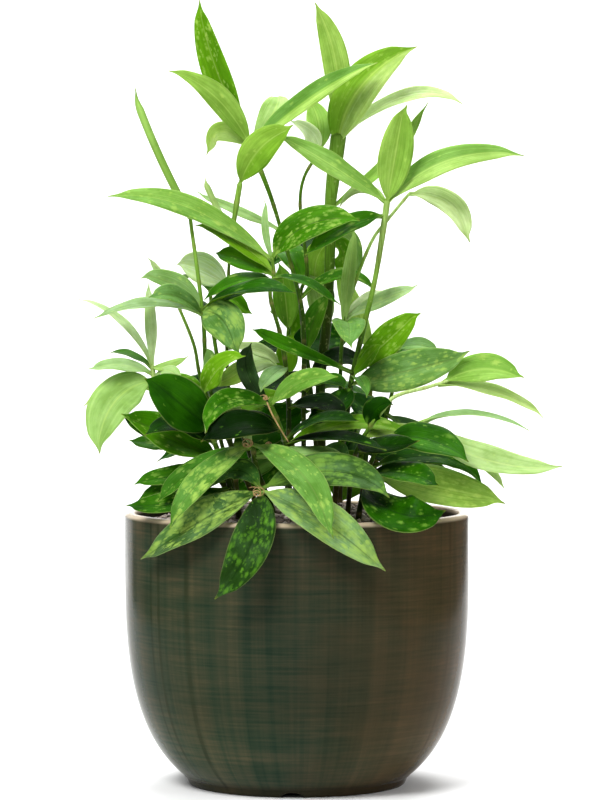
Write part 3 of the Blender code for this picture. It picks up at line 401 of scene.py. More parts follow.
# How far the halves of a rolled leaf wind round its middle line, in degrees
ROLL_WIND = 205.0

# Dry curls of old sheath on the front stems: where each shows, its size and its turns
HUSKS = {
    "dry_curl_upper": ((-30, 203, -64), 3.8, 1.6),
    "dry_curl_front": ((-24, 173.5, -86), 4.4, 1.7),
    "dry_curl_middle": ((-19, 231, -60), 2.2, 1.3),
    "dry_curl_side": ((-17, 203, -62), 2.6, 0.9),
}
CURL_STRANDS = 3
CURL_POINTS = 14
CURL_RADIUS = 0.48
CURL_SEED = 40
# A dry stalk hangs from the middle curl
DRY_STALK = [(-18, 229, -60), (-15, 222, -64), (-10, 213, -66), (-5, 205, -66)]
DRY_STALK_RADII = (0.6, 0.4)
DRY_STALK_SEED = 44

# Soft lights, in metres: place, size across and up, power in watts, and what each aims at
LIGHTS = {
    "key": ((-0.8, -1.2, 1.7), (0.9, 0.9), 52, (0.0, 0.0, 0.28)),
    "fill": ((1.6, -1.3, 1.3), (0.8, 0.8), 14, (0.0, 0.0, 0.28)),
    "top": ((0.15, 0.5, 1.9), (1.2, 1.2), 34, (0.0, 0.0, 0.28)),
    "left_band": ((-0.72, 1.15, 0.35), (0.42, 1.1), 2.5, (0.0, 0.0, 0.2)),
    "right_band": ((0.34, 1.5, 0.35), (0.3, 1.1), 1, (0.0, 0.0, 0.2)),
    "backdrop_wash": ((0.0, 0.9, 1.9), (1.6, 0.5), 46, (0.0, 2.2, 0.7)),
}
SKY_STRENGTH = 0.26
WHITE = (1.0, 1.0, 1.0, 1.0)

# The stage's sweep, in metres: level from its front to the bend, then upright to its top
STAGE_GREY = (0.86, 0.86, 0.86, 1.0)
STAGE_HALF_WIDTH = 0.75
STAGE_FRONT = -1.2
STAGE_TOP = 2.4
BEND_START = 1.6
BEND_RADIUS = 0.6
BEND_STEPS = 12


def linear(colour):
    """A screen colour, three numbers from 0 to 255, as linear light. Anything else passes as it is."""
    if not isinstance(colour, tuple) or len(colour) != 3:
        return colour
    parts = []
    for value in colour:
        share = value / 255
        parts.append(share / 12.92 if share <= 0.04045 else ((share + 0.055) / 1.055) ** 2.4)
    return (*parts, 1.0)


def smooth_step(low, high, value):
    share = np.clip((value - low) / (high - low), 0.0, 1.0)
    return share * share * (3 - 2 * share)


def new_object(name, data):
    thing = bpy.data.objects.new(name, data)
    bpy.context.scene.collection.objects.link(thing)
    return thing


def new_mesh(name, points, faces, smooth=True):
    """A mesh from points in millimetres."""
    mesh = bpy.data.meshes.new(name)
    corners = [tuple(int(corner) for corner in face) for face in faces]
    mesh.from_pydata((points * MM).tolist(), [], corners)
    if smooth:
        mesh.shade_smooth()
    return mesh


def add_attribute(mesh, name, values):
    """Three numbers for every point, which a material can read."""
    layer = mesh.attributes.new(name, "FLOAT_VECTOR", "POINT")
    layer.data.foreach_set("vector", np.array(values, np.float32).ravel())


def place(thing, slot, *materials):
    for material in materials:
        thing.data.materials.append(material)
    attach(thing, "root")


class Nodes:
    """Short names for making a material's nodes."""

    def __init__(self, name):
        self.material = bpy.data.materials.new(name)
        self.material.use_nodes = True
        self.tree = self.material.node_tree
        self.shader = self.tree.nodes["Principled BSDF"]

    def add(self, kind, settings=None, inputs=None):
        node = self.tree.nodes.new(kind)
        for key, value in (settings or {}).items():
            setattr(node, key, value)
        for key, value in (inputs or {}).items():
            self.put(node, key, value)
        return node

    def put(self, node, key, value):
        if isinstance(value, bpy.types.NodeSocket):
            self.tree.links.new(value, node.inputs[key])
        else:
            node.inputs[key].default_value = value

    def math(self, operation, first, second=0.0):
        return self.add("ShaderNodeMath", {"operation": operation}, {0: first, 1: second}).outputs[0]

    def times(self, first, second):
        return self.math("MULTIPLY", first, second)

    def larger(self, first, second):
        return self.math("MAXIMUM", first, second)

    def total(self, *parts):
        """The sum of parts, each a value or a (value, weight) pair."""
        weighed = [self.times(*part) if isinstance(part, tuple) else part for part in parts]
        result = weighed[0]
        for part in weighed[1:]:
            result = self.math("ADD", result, part)
        return result

    def mix(self, factor, first, second, blend="MIX"):
        """Two colours mixed. A colour of three numbers is a screen colour."""
        settings = {"data_type": "RGBA", "blend_type": blend}
        inputs = {0: factor, 6: linear(first), 7: linear(second)}
        return self.add("ShaderNodeMix", settings, inputs).outputs[2]

    def tinted(self, factor, base, tint):
        """The base, multiplied by a tint as far as the factor says."""
        return self.mix(factor, base, self.mix(1.0, base, tint, "MULTIPLY"))

    def spread(self, value, low, high, new_low=0.0, new_high=1.0):
        settings = {"interpolation_type": "SMOOTHSTEP"}
        inputs = dict(enumerate((value, low, high, new_low, new_high)))
        return self.add("ShaderNodeMapRange", settings, inputs).outputs[0]

    def ramp(self, value, stops):
        node = self.add("ShaderNodeValToRGB", None, {0: value})
        band = node.color_ramp
        while len(band.elements) < len(stops):
            band.elements.new(0.5)
        for element, (where, colour) in zip(band.elements, stops):
            element.position = where
            element.color = linear(colour)
        return node.outputs[0]

    def stretched(self, vector, stretch):
        return self.add("ShaderNodeMapping", None, {"Vector": vector, "Scale": stretch}).outputs[0]

    def noise(self, vector, stretch, detail=3.0, rough=0.5):
        """Cloudy noise, 0 to 1, with a size of its own along each axis."""
        place_in = self.stretched(vector, stretch)
        inputs = {"Vector": place_in, "Scale": 1.0, "Detail": detail, "Roughness": rough}
        return self.add("ShaderNodeTexNoise", None, inputs).outputs[0]

    def position(self):
        return self.add("ShaderNodeTexCoord").outputs["Object"]

    def joined(self, x, y, z):
        return self.add("ShaderNodeCombineXYZ", None, {0: x, 1: y, 2: z}).outputs[0]

    def attribute(self, name):
        """A point attribute as a vector and as its three numbers."""
        node = self.add("ShaderNodeAttribute", {"attribute_type": "GEOMETRY", "attribute_name": name})
        split = self.add("ShaderNodeSeparateXYZ", None, {0: node.outputs["Vector"]})
        return node.outputs["Vector"], split.outputs

    def finished(self, colour, roughness, height, strength, distance):
        """The material with its colour, its roughness and a bump of the given height."""
        inputs = {"Height": height, "Strength": strength, "Distance": distance}
        bump = self.add("ShaderNodeBump", None, inputs)
        self.put(self.shader, "Base Color", colour)
        self.put(self.shader, "Roughness", roughness)
        self.put(self.shader, "Normal", bump.outputs[0])
        return self.material


def soft_spots(m, where, spots, cell, share):
    """Blurred, uneven spots drawn out along the leaf. A share of the cells of a loose grid bears one."""
    drift = m.add("ShaderNodeTexNoise", None, {"Vector": where, "Scale": 0.6, "Detail": 3.0})
    moved = m.add("ShaderNodeVectorMath", {"operation": "MULTIPLY_ADD"}, {
        0: drift.outputs["Color"], 1: (2.4, 2.8, 0.0), 2: where,
    }).outputs[0]
    grid = m.stretched(moved, (1 / cell, 0.5 / cell, 1.0))
    cells = m.add("ShaderNodeTexVoronoi", {"voronoi_dimensions": "2D"}, {"Vector": grid, "Scale": 1.0})
    pick = m.add("ShaderNodeSeparateColor", None, {0: cells.outputs["Color"]}).outputs
    radius = m.total((pick[1], 0.32), m.spread(spots, 0.6, 1.8, 0.15, 0.4))
    near = m.math("DIVIDE", cells.outputs["Distance"], radius)
    kept = m.math("LESS_THAN", pick[0], m.times(spots, share))
    strength = m.spread(pick[2], 0.0, 1.0, 0.5, 1.0)
    return m.times(m.times(m.spread(near, 0.2, 1.4, 1.0, 0.0), kept), strength)


def leaf_material():
    """Green by age, with fine parallel veins, gold-dust spots above and a paler underside.

    leaf_place is (across, along, draw) in millimetres, leaf_look is (share across, age, spots) and
    leaf_side is (share along, underside, painted sheen).
    """
    m = Nodes("leaf")
    where, (_, _, draw) = m.attribute("leaf_place")
    _, (across, age, spots) = m.attribute("leaf_look")
    _, (along, under, haze) = m.attribute("leaf_side")
    margin = m.math("ABSOLUTE", across)
    green = m.ramp(age, [
        (0.0, (6, 30, 0)),
        (0.25, (27, 75, 2)),
        (0.45, (56, 114, 6)),
        (0.65, (101, 151, 23)),
        (0.82, (150, 184, 78)),
        (1.0, (190, 210, 142)),
    ])
    # Painted sheen: each leaf is mixed towards a pale grey-green as far as its sheen value says, in place of
    # glossy sheen and back light
    painted_sheen_colour = m.mix(m.spread(haze, 1.1, 1.4), (176, 200, 156), (226, 242, 200))
    base = m.mix(m.times(haze, 0.6), green, painted_sheen_colour)
    patches = m.spread(m.noise(where, (0.09, 0.045, 1.0), 4.0, 0.6), 0.36, 0.64)
    base = m.tinted(m.times(patches, m.spread(age, 0.2, 0.7, 0.9, 0.5)), base, (164, 186, 110))

    # Painted shade: darker leaves are darkened towards the stalk, where the clump shades them
    shade = m.times(m.spread(along, 0.1, 0.6, 0.75, 0.0), m.spread(age, 0.25, 0.62, 1.0, 0.0))
    base = m.tinted(shade, base, (176, 196, 190))

    # Veins run from the stalk to the tip and draw together there
    flow = m.joined(across, along, draw)
    veins = m.noise(flow, (12.0, 0.6, 1.0), 2.0)
    fine_veins = m.noise(flow, (44.0, 1.4, 1.0), 2.0, 0.6)
    vein_tone = m.spread(age, 0.2, 0.75, 0.33, 0.42)
    base = m.tinted(m.times(m.spread(veins, 0.46, 0.64), vein_tone), base, (1.5, 1.35, 1.7, 1.0))
    base = m.tinted(m.times(m.spread(fine_veins, 0.52, 0.68), 0.45), base, (190, 206, 150))

    # The spots crowd together in places
    crowd = m.noise(where, (0.08, 0.05, 1.7), 1.0)
    spotted = m.times(spots, m.spread(crowd, 0.3, 0.62, 0.35, 1.3))
    broad = m.times(m.spread(age, 0.5, 0.72, 1.0, 0.1), m.spread(spots, 0.8, 1.5, 0.6, 1.0))
    large = soft_spots(m, where, m.times(spotted, broad), cell=3.8, share=0.66)
    small = soft_spots(m, where, spotted, cell=1.9, share=0.5)
    spot = m.larger(large, m.times(small, 0.7))
    spot = m.times(spot, m.spread(margin, 0.8, 0.98, 1.0, 0.3))
    gold = m.larger(m.spread(age, 0.1, 0.75), m.spread(spots, 1.1, 1.7, 0.0, 0.55))
    spot_colour = m.mix(gold, (88, 144, 34), (188, 212, 104))
    strength = m.total(m.spread(age, 0.4, 0.75, 0.62, 0.4), m.spread(spots, 1.1, 1.7, 0.0, 0.12))
    base = m.mix(m.times(spot, strength), base, spot_colour)

    # Painted shade darkens the midrib's groove on old leaves; young leaves have a pale midrib line
    groove_shade = m.mix(0.6, base, (12, 36, 8))
    pale_line = m.mix(0.4, base, (178, 204, 104))
    rib_colour = m.mix(m.spread(age, 0.4, 0.7), groove_shade, pale_line)
    base = m.mix(m.spread(margin, 0.02, 0.06, 0.75, 0.0), base, rib_colour)

    # The margin is a little paler, partly its own pale edge and partly a painted highlight along it; the
    # stalk is a little paler, the very tip is dry
    edge = m.times(m.spread(margin, 0.93, 1.0, 0.0, 0.5), m.spread(age, 0.1, 0.5, 0.4, 1.0))
    base = m.mix(edge, base, m.mix(0.5, base, (200, 218, 130)))
    pale_start = m.times(m.spread(along, 0.02, 0.14, 0.5, 0.0), m.spread(age, 0.2, 0.6, 0.4, 1.0))
    base = m.mix(pale_start, base, (140, 176, 74))
    base = m.mix(m.spread(along, 0.96, 0.995, 0.0, 0.5), base, (120, 128, 52))
    below = m.mix(m.spread(haze, 0.05, 0.4), (122, 172, 16), (146, 184, 96))
    colour = m.mix(under, base, m.mix(0.3, base, below))
    sheen = m.noise(where, (0.12, 0.05, 1.0))
    rough = m.total(m.spread(sheen, 0.3, 0.7, 0.3, 0.42), (under, 0.16))
    m.shader.inputs["Specular IOR Level"].default_value = 0.025
    m.shader.inputs["Subsurface Weight"].default_value = 0.16
    m.shader.inputs["Subsurface Radius"].default_value = (0.6, 1.0, 0.2)
    m.shader.inputs["Subsurface Scale"].default_value = 0.0012
    grain = m.noise(where, (1.2, 0.35, 1.0))
    swell = m.noise(where, (0.16, 0.09, 1.0), 2.0)
    relief = m.total((veins, 1.4), (fine_veins, 0.6), (swell, 5.0), (grain, 0.35))
    return m.finished(colour, rough, relief, 0.5, 0.0004)


def stem_material():
    """Green stems, dark low down, with fine dry rings. stem_look is (age, ring, share of soil brown)."""
    m = Nodes("stem")
    _, (age, ring, low) = m.attribute("stem_look")
    coords = m.position()
    green = m.ramp(age, [
        (0.0, (22, 36, 5)),
        (0.25, (40, 70, 8)),
        (0.5, (78, 120, 26)),
        (0.75, (126, 166, 66)),
        (1.0, (180, 206, 130)),
    ])
    streaks = m.noise(coords, (900.0, 900.0, 50.0))
    broad = m.noise(coords, (70.0, 70.0, 25.0), 2.0)
    colour = m.tinted(m.spread(streaks, 0.35, 0.65, 0.0, 0.6), green, (176, 184, 120))
    colour = m.mix(m.spread(broad, 0.45, 0.7, 0.0, 0.4), colour, (58, 50, 22))
    flecks = m.spread(m.noise(coords, (420.0, 420.0, 420.0), 2.0), 0.6, 0.72)
    colour = m.mix(m.times(flecks, 0.25), colour, (168, 186, 110))
    colour = m.mix(m.times(low, 0.7), colour, (70, 54, 30))
    colour = m.mix(m.times(ring, 0.5), colour, (140, 122, 76))
    m.shader.inputs["Specular IOR Level"].default_value = 0.08
    return m.finished(colour, m.spread(streaks, 0.3, 0.7, 0.38, 0.52), streaks, 0.4, 0.0003)


def husk_material():
    """Dry, papery bits of old sheath: tan, streaked along."""
    m = Nodes("dry husk")
    streaks = m.noise(m.position(), (700.0, 700.0, 200.0), 4.0)
    colour = m.ramp(streaks, [
        (0.25, (104, 80, 38)),
        (0.55, (158, 130, 78)),
        (0.8, (200, 176, 124)),
    ])
    return m.finished(colour, m.spread(streaks, 0.3, 0.7, 0.5, 0.7), streaks, 0.5, 0.0003)


def upright_run(m, side, middle, half):
    """One soft upright line on the pot, at a share of the way across."""
    return m.spread(m.math("ABSOLUTE", m.math("SUBTRACT", side, middle)), half * 0.3, half, 1.0, 0.0)


def glaze_material():
    """Dark green-brown glaze, brushed in fine level strokes over soft upright bands.

    pot_place is (share of the way across, height in metres, inside) and pot_round is (cosine and sine of
    the turn about the axis, height in metres).
    """
    m = Nodes("glaze")
    coords = m.position()
    _, (side, height, inside) = m.attribute("pot_place")
    around, _ = m.attribute("pot_round")
    level = m.noise(around, (2.2, 2.2, 620.0), 5.0, 0.62)
    level_wide = m.noise(around, (1.3, 1.3, 75.0), 4.0, 0.6)
    upright = m.noise(around, (8.0, 8.0, 3.0), 5.0, 0.62)
    upright_fine = m.noise(around, (48.0, 48.0, 7.0), 3.0, 0.6)
    blotch = m.noise(coords, (11.0, 11.0, 11.0), 4.0, 0.6)

    # Strokes lie across and down, so the tone is woven of both
    woven = m.total((level, 0.34), (level_wide, 0.2), (upright, 0.34), (upright_fine, 0.12))
    base = m.ramp(woven, [
        (0.39, (27, 43, 33)),
        (0.47, (42, 51, 39)),
        (0.54, (54, 56, 43)),
        (0.63, (70, 65, 49)),
    ])
    base = m.mix(m.spread(blotch, 0.48, 0.7, 0.0, 0.3), base, (62, 50, 34))
    # Painted light: lighter and browner near the top, partly the glaze's own brown and partly lifting the
    # shade that the leaves cast there
    base = m.tinted(m.spread(height, 0.1, 0.158), base, (1.3, 1.14, 1.2, 1.0))
    # Painted reflection: lighter and greyer low down, where the glaze curves under towards the floor
    base = m.tinted(m.spread(height, 0.02, 0.06, 1.0, 0.0), base, (1.6, 1.6, 1.7, 1.0))

    # Darker upright runs, three to the left and one to the right
    runs = m.larger(upright_run(m, side, 0.086, 0.004), upright_run(m, side, 0.108, 0.006))
    others = m.larger(upright_run(m, side, 0.935, 0.005), upright_run(m, side, 0.19, 0.01))
    runs = m.larger(runs, others)
    base = m.mix(m.times(runs, m.spread(level_wide, 0.35, 0.6, 0.25, 0.6)), base, (34, 40, 26))

    # Painted highlight and reflection: the glaze is painted paler grey green on the left and brown on the
    # right, for a pale highlight at the left edge and a warm reflection at the right
    base = m.mix(1.0, base, m.ramp(side, [
        (0.0, (255, 255, 236)),
        (0.2, (244, 250, 232)),
        (0.5, (222, 226, 216)),
        (0.8, (236, 222, 202)),
        (0.96, (255, 220, 180)),
    ]), "MULTIPLY")
    base = m.mix(m.spread(side, 0.5, 0.9, 0.0, 0.17), base, (100, 74, 48))

    # The glaze thins to taupe along the rim and breaks brown at the foot
    base = m.mix(m.spread(height, 0.1602, 0.1624, 0.0, 0.85), base, (188, 170, 144))
    base = m.mix(m.spread(height, 0.004, 0.009, 0.6, 0.0), base, (44, 34, 24))
    base = m.mix(m.times(inside, 0.5), base, (40, 34, 26))
    rough = m.total(m.spread(upright, 0.3, 0.75, 0.12, 0.22), (inside, 0.5))
    m.shader.inputs["IOR"].default_value = 1.11
    return m.finished(base, rough, m.total((level, 0.3), (upright_fine, 0.3)), 0.2, 0.0003)


def granule_material():
    """Mineral planting granules: white, grey, pinkish and near black. grain_look is three draws."""
    m = Nodes("granules")
    _, (pick, shade, _) = m.attribute("grain_look")
    colour = m.ramp(pick, [
        (0.0, (44, 38, 34)),
        (0.16, (84, 74, 66)),
        (0.34, (150, 138, 130)),
        (0.56, (206, 196, 190)),
        (0.78, (212, 182, 170)),
        (1.0, (242, 238, 232)),
    ])
    pits = m.noise(m.position(), (1500.0, 1500.0, 1500.0), 4.0, 0.7)
    colour = m.tinted(m.spread(pits, 0.35, 0.7, 0.55, 0.0), colour, (120, 110, 100))
    colour = m.mix(m.times(shade, 0.25), colour, (90, 78, 66))
    return m.finished(colour, m.spread(pits, 0.3, 0.7, 0.8, 0.95), pits, 0.7, 0.0004)


def soil_material():
    m = Nodes("planting mix")
    lumps = m.noise(m.position(), (420.0, 420.0, 420.0), 5.0, 0.7)
    colour = m.ramp(lumps, [
        (0.3, (40, 33, 28)),
        (0.55, (92, 80, 70)),
        (0.75, (160, 146, 134)),
    ])
    return m.finished(colour, m.spread(lumps, 0.3, 0.7, 0.85, 1.0), lumps, 0.9, 0.002)


def seen(across, up, back):
    """The real place, in millimetres, of a point that shows at (across, up) and lies at a given depth."""
    onto = Vector((across, 0.0, up))
    return EYE + (onto - EYE) * ((back - EYE.y) / -EYE.y)


def shown_height(spot):
    """The height at which a real place shows from the eye."""
    return EYE.z + (spot.z - EYE.z) * (-EYE.y / (spot.y - EYE.y))


def soil_height(x, y):
    """The height of the mound, with the coarse relief that the frame's solid has."""
    away = min(1.0, math.hypot(x, y) / (POT_RADIUS - POT_WALL))
    mound = SOIL_EDGE + SOIL_MOUND * (1.0 - away ** SOIL_SLOPE_POWER)
    relief = math.sin(x * 0.31 + 1.7 * math.sin(y * 0.13)) * math.cos(y * 0.27 + 1.3 * math.sin(x * 0.11))
    return mound + SOIL_RELIEF * relief * (1.0 - away ** SOIL_RELIEF_FADE)


def smooth_route(places):
    """A fine, evenly spaced line on a smooth curve through the places."""
    fine = []
    padded = [places[0] * 2 - places[1]] + places + [places[-1] * 2 - places[-2]]
    for i in range(1, len(padded) - 2):
        before, start, end, after = padded[i - 1:i + 3]
        count = max(2, round((end - start).length / STEM_STEP))
        for step in range(count):
            t = step / count
            fine.append(
                start
                + (end - before) * (t / 2)
                + (before * 2 - start * 5 + end * 4 - after) * (t * t / 2)
                + (start * 3 - before - end * 3 + after) * (t ** 3 / 2)
            )
    fine.append(places[-1].copy())
    return fine


def stem_route(shoot):
    across, back = shoot.foot
    ground = soil_height(across, back)
    places = [Vector((across, back, ground - STEM_DEPTH)), Vector((across, back, ground))]
    places += [seen(*spot) for spot in shoot.stem]
    return smooth_route(places)


def point_at_height(route, height):
    """The point of a stem that shows at a given height, or a point just below the stem's top."""
    last = route[-1] + (route[-2] - route[-1]).normalized() * STEM_TOP_MARGIN
    line = route[:-1] + [last]
    for low, high in zip(line, line[1:]):
        bottom, top = shown_height(low), shown_height(high)
        if bottom <= height <= top:
            return low.lerp(high, (height - bottom) / (top - bottom))
    return last


def on_bend(base, pull, tip, t):
    """A point on a blade's middle line, at a share of the way from its base to its tip."""
    return base * (1 - t) ** 2 + pull * (2 * t * (1 - t)) + tip * t ** 2


def blade_ends(base, leaf, tip_shift, middle_shift):
    """The blade's control point and tip, for one way of bending it."""
    across, up, back = leaf.tip
    tip = seen(across, up, back + tip_shift)
    across, up, back = leaf.middle
    middle = seen(across, up, back + tip_shift / 2 + middle_shift)
    return middle * 2 - (base + tip) / 2, tip


def bent_as_in_frame(base, leaf, near):
    """The bend that the frame's own blade has, found by where its middle line runs."""
    best = None
    for middle_shift in MIDDLE_SHIFTS:
        for tip_shift in TIP_SHIFTS:
            pull, tip = blade_ends(base, leaf, tip_shift, middle_shift)
            length = (tip - base).length
            stations = STATIONS
            if length < SHORT_BLADE:
                stations = SHORT_STATIONS
            if length > LONG_BLADE:
                stations = LONG_STATIONS
            off = sum(near.find(on_bend(base, pull, tip, part))[2] for part in stations)
            if best is None or off < best[0] - BEND_GAIN:
                best = (off, pull, tip)
    return best[1:]


def unit_rows(vectors):
    """Each row scaled to a length of one."""
    return vectors / np.linalg.norm(vectors, axis=1)[:, None]


def shell_faces(count_rows, count_columns):
    """Quads that close a blade all round: its upper points come first, then its lower ones."""
    upper = np.arange(count_rows * count_columns).reshape(count_rows, count_columns)
    under = upper + upper.size
    return np.concatenate([
        np.stack([upper[:-1, :-1], upper[:-1, 1:], upper[1:, 1:], upper[1:, :-1]], -1).reshape(-1, 4),
        np.stack([under[:-1, :-1], under[1:, :-1], under[1:, 1:], under[:-1, 1:]], -1).reshape(-1, 4),
        np.stack([upper[:-1, 0], upper[1:, 0], under[1:, 0], under[:-1, 0]], -1),
        np.stack([upper[:-1, -1], under[:-1, -1], under[1:, -1], upper[1:, -1]], -1),
        np.stack([upper[0, :-1], under[0, :-1], under[0, 1:], upper[0, 1:]], -1),
        np.stack([upper[-1, :-1], upper[-1, 1:], under[-1, 1:], under[-1, :-1]], -1),
    ])


def tube_faces(count, sides):
    """A tube's point numbers ring by ring, those of their neighbours, and the quads between the rings."""
    index = np.arange(count * sides).reshape(count, sides)
    beside = np.roll(index, -1, axis=1)
    quads = np.stack([index[:-1], beside[:-1], beside[1:], index[1:]], -1)
    return index, beside, quads


def fine_blade(base, pull, tip, leaf, draw):
    """Points, quads and looks of one leaf: channelled near its stalk, gently waved, closed all round.

    A rolled leaf is wound round its middle line instead, at its radius.
    """
    base, pull, tip = (np.array(v) for v in (base, pull, tip))
    look_up = math.radians(leaf.face_up)
    face = np.array(Vector((leaf.face_right, -math.cos(look_up), math.sin(look_up))))
    # The rows lie a little closer together at both ends
    rows = np.linspace(0.0, 1.0, BLADE_ROWS)
    rows = rows - 0.03 * np.sin(2 * np.pi * rows)
    t = rows[:, None]
    centre = on_bend(base, pull, tip, t)
    ahead = unit_rows((pull - base) * (1 - t) + (tip - pull) * t)
    normal = unit_rows(face - ahead * (ahead @ face)[:, None])
    out = np.cross(ahead, normal)
    twist = math.radians(draw.uniform(-TWIST, TWIST)) * (rows - TWIST_CENTRE)
    turned_out = out * np.cos(twist)[:, None] + normal * np.sin(twist)[:, None]
    normal = normal * np.cos(twist)[:, None] - out * np.sin(twist)[:, None]
    out = turned_out
    length = np.linalg.norm(np.diff(centre, axis=0), axis=1).sum()

    # Half the width, row by row, widest at the share where the two powers balance
    along = np.maximum(0.0, (rows - STALK_SHARE) / (1 - STALK_SHARE))
    fullest = BASE_POWER / (BASE_POWER + TIP_POWER)
    swell = along ** BASE_POWER * (1 - along) ** TIP_POWER
    swell /= fullest ** BASE_POWER * (1 - fullest) ** TIP_POWER
    # The last stretch draws out to a fine point, bent a little to one side
    swell *= 1 - 0.5 * smooth_step(*POINT_SPAN, along)
    hook = draw.choice((-1, 1)) * draw.uniform(*TIP_HOOK) * smooth_step(*HOOK_SPAN, rows) ** 2
    centre = centre + out * hook[:, None]
    narrowing = smooth_step(*STALK_NARROWS, rows)
    stalk_half = STALK_HALF_WIDTH + (TIP_HALF_WIDTH - STALK_HALF_WIDTH) * narrowing
    stalk_part = stalk_half ** 2 * (1 - smooth_step(*STALK_ENDS, rows))
    half = np.sqrt((swell * leaf.width / 2) ** 2 + stalk_part + TIP_HALF_WIDTH ** 2)

    columns = np.linspace(-1.0, 1.0, 2 * BLADE_HALF_COLUMNS + 1)
    channel = CHANNEL + CHANNEL * (1 - smooth_step(*DEEP_CHANNEL, rows)) + draw.uniform(*CHANNEL_CHANGE)
    waves = draw.uniform(*WAVES)
    phase = draw.uniform(0, 6.28)
    wave_height = draw.uniform(*WAVE_HEIGHT) * leaf.width / USUAL_WIDTH
    upper = []
    depths = []
    for column in columns:
        edge = abs(column)
        rise = channel * half * (math.sqrt(column ** 2 + CHANNEL_ROUND) - CHANNEL_LOW)
        rise -= MARGIN_DROOP * half * edge ** 3
        side_phase = phase if column > 0 else phase + WAVE_SHIFT
        ripple = wave_height * np.sin(2 * np.pi * waves * rows + side_phase)
        ripple = ripple * edge ** 2 * np.sin(np.pi * rows)
        reach = half * column * np.cos(channel * edge)
        if leaf.rolled:
            wind = math.radians(ROLL_WIND) * column
            taper = np.minimum(1.0, 0.75 + 1.2 * rows) * (1 - smooth_step(*ROLL_CLOSES, rows))
            radius = leaf.rolled * (1 + 0.1 * column) * taper + 0.2
            reach = radius * math.sin(wind)
            rise = -radius * math.cos(wind)
            ripple = 0.0
        upper.append(centre + out * reach[:, None] + normal * (rise + ripple)[:, None])
        rib = MIDRIB_THICKNESS * math.exp(-(column / RIB_WIDTH) ** 2) * (1 - rows)
        thinning = (1 - smooth_step(*THICK_STALK, rows)) * (1 - 0.5 * edge)
        stalk = (STALK_THICKNESS - BLADE_THICKNESS) * thinning
        depths.append(BLADE_THICKNESS * (1 - MARGIN_THINNING * edge) + rib + stalk)
    top = np.stack(upper, 1)
    bottom = top - normal[:, None, :] * np.stack(depths, 1)[..., None]
    points = np.concatenate([top.reshape(-1, 3), bottom.reshape(-1, 3)])

    seed = draw.uniform(0, 400)
    ones = np.ones(top.shape[:2])
    across_mm = columns[None, :] * half[:, None]
    along_mm = ones * (rows * length)[:, None]
    spot_place = np.stack([across_mm + seed, along_mm + seed * 0.7, ones * seed], -1).reshape(-1, 3)
    # Painted light: the half that turns to the light is painted a little paler than the other
    painted_lit_half = (leaf.two_tone or draw.uniform(-PAINTED_HALF_LIGHT, PAINTED_HALF_LIGHT)) * np.clip(columns * 5, -1, 1)
    own_age = leaf.age + draw.uniform(-AGE_CHANGE, AGE_CHANGE) + painted_lit_half
    look = np.stack([ones * columns[None, :], ones * own_age[None, :], ones * leaf.spots], -1).reshape(-1, 3)
    above = np.stack([ones * rows[:, None], ones * 0.0, ones * leaf.haze], -1).reshape(-1, 3)
    below = above.copy()
    below[:, 1] = 1.0
    looks = {
        "leaf_place": np.concatenate([spot_place, spot_place]),
        "leaf_look": np.concatenate([look, look]),
        "leaf_side": np.concatenate([above, below]),
        "stem_look": np.zeros((points.shape[0], 3)),
    }
    return points, list(shell_faces(*top.shape[:2])), looks


def fine_stem(route, radii, age, ringed, draw, sheath=0.0):
    """Points, faces and looks of one stem: a closed tube with a swollen, ringed node every so often."""
    path = np.array([tuple(spot) for spot in route])
    ahead = unit_rows(np.gradient(path, axis=0))
    first = unit_rows(np.cross(ahead, np.array([0.0, 1.0, 0.0])))
    second = np.cross(ahead, first)
    steps = np.concatenate([[0.0], np.cumsum(np.linalg.norm(np.diff(path, axis=0), axis=1))])
    share = steps / steps[-1]
    low, high = radii
    radius = STEM_SLIMMING * (low + (high - low) * share)
    radius = radius * (1 + sheath * (smooth_step(0.78, 0.97, share) - 0.15))
    ring = np.zeros(len(path))
    at = draw.uniform(*FIRST_NODE)
    while at < steps[-1] - 4:
        ring = np.maximum(ring, np.exp(-((steps - at) / NODE_LENGTH) ** 2))
        at += draw.uniform(*NODE_SPACING)
    ring *= ringed
    radius = radius * (1 + NODE_SWELL * ring)
    radius[-1] *= STEM_END
    turns = np.linspace(0, 2 * np.pi, STEM_SIDES, endpoint=False)
    circle = np.cos(turns)[None, :, None] * first[:, None, :]
    circle = circle + np.sin(turns)[None, :, None] * second[:, None, :]
    rings = path[:, None, :] + circle * radius[:, None, None]
    points = np.concatenate([rings.reshape(-1, 3), path[:1], path[-1:]])
    index, beside, quads = tube_faces(len(path), STEM_SIDES)
    foot, top = index.size, index.size + 1
    caps = [(foot, beside[0, k], index[0, k]) for k in range(STEM_SIDES)]
    caps += [(top, index[-1, k], beside[-1, k]) for k in range(STEM_SIDES)]
    soil_brown = 1 - smooth_step(0.1, 0.4, share)
    tone = STEM_LOW_AGE + (age - STEM_LOW_AGE) * smooth_step(0.4, 0.95, share)
    look = np.repeat(np.stack([tone, ring, soil_brown], -1), STEM_SIDES, axis=0)
    look = np.concatenate([look, look[:1], look[-1:]])
    blank = np.zeros((len(points), 3))
    looks = {"leaf_place": blank, "leaf_look": blank, "leaf_side": blank, "stem_look": look}
    return points, list(quads.reshape(-1, 4)) + caps, looks


def build_piece(name, chunks):
    """One mesh from several closed shells, with their looks as attributes and a material for each kind."""
    points = []
    faces = []
    kinds = []
    start = 0
    for chunk_points, chunk_faces, _, kind in chunks:
        points.append(chunk_points)
        faces += [np.array(face) + start for face in chunk_faces]
        kinds += [kind] * len(chunk_faces)
        start += len(chunk_points)
    mesh = new_mesh(name, np.concatenate(points), faces)
    mesh.polygons.foreach_set("material_index", kinds)
    for key in ("leaf_place", "leaf_look", "leaf_side", "stem_look"):
        add_attribute(mesh, key, np.concatenate([looks[key] for _, _, looks, _ in chunks]))
    mesh.update()
    return new_object(name, mesh)


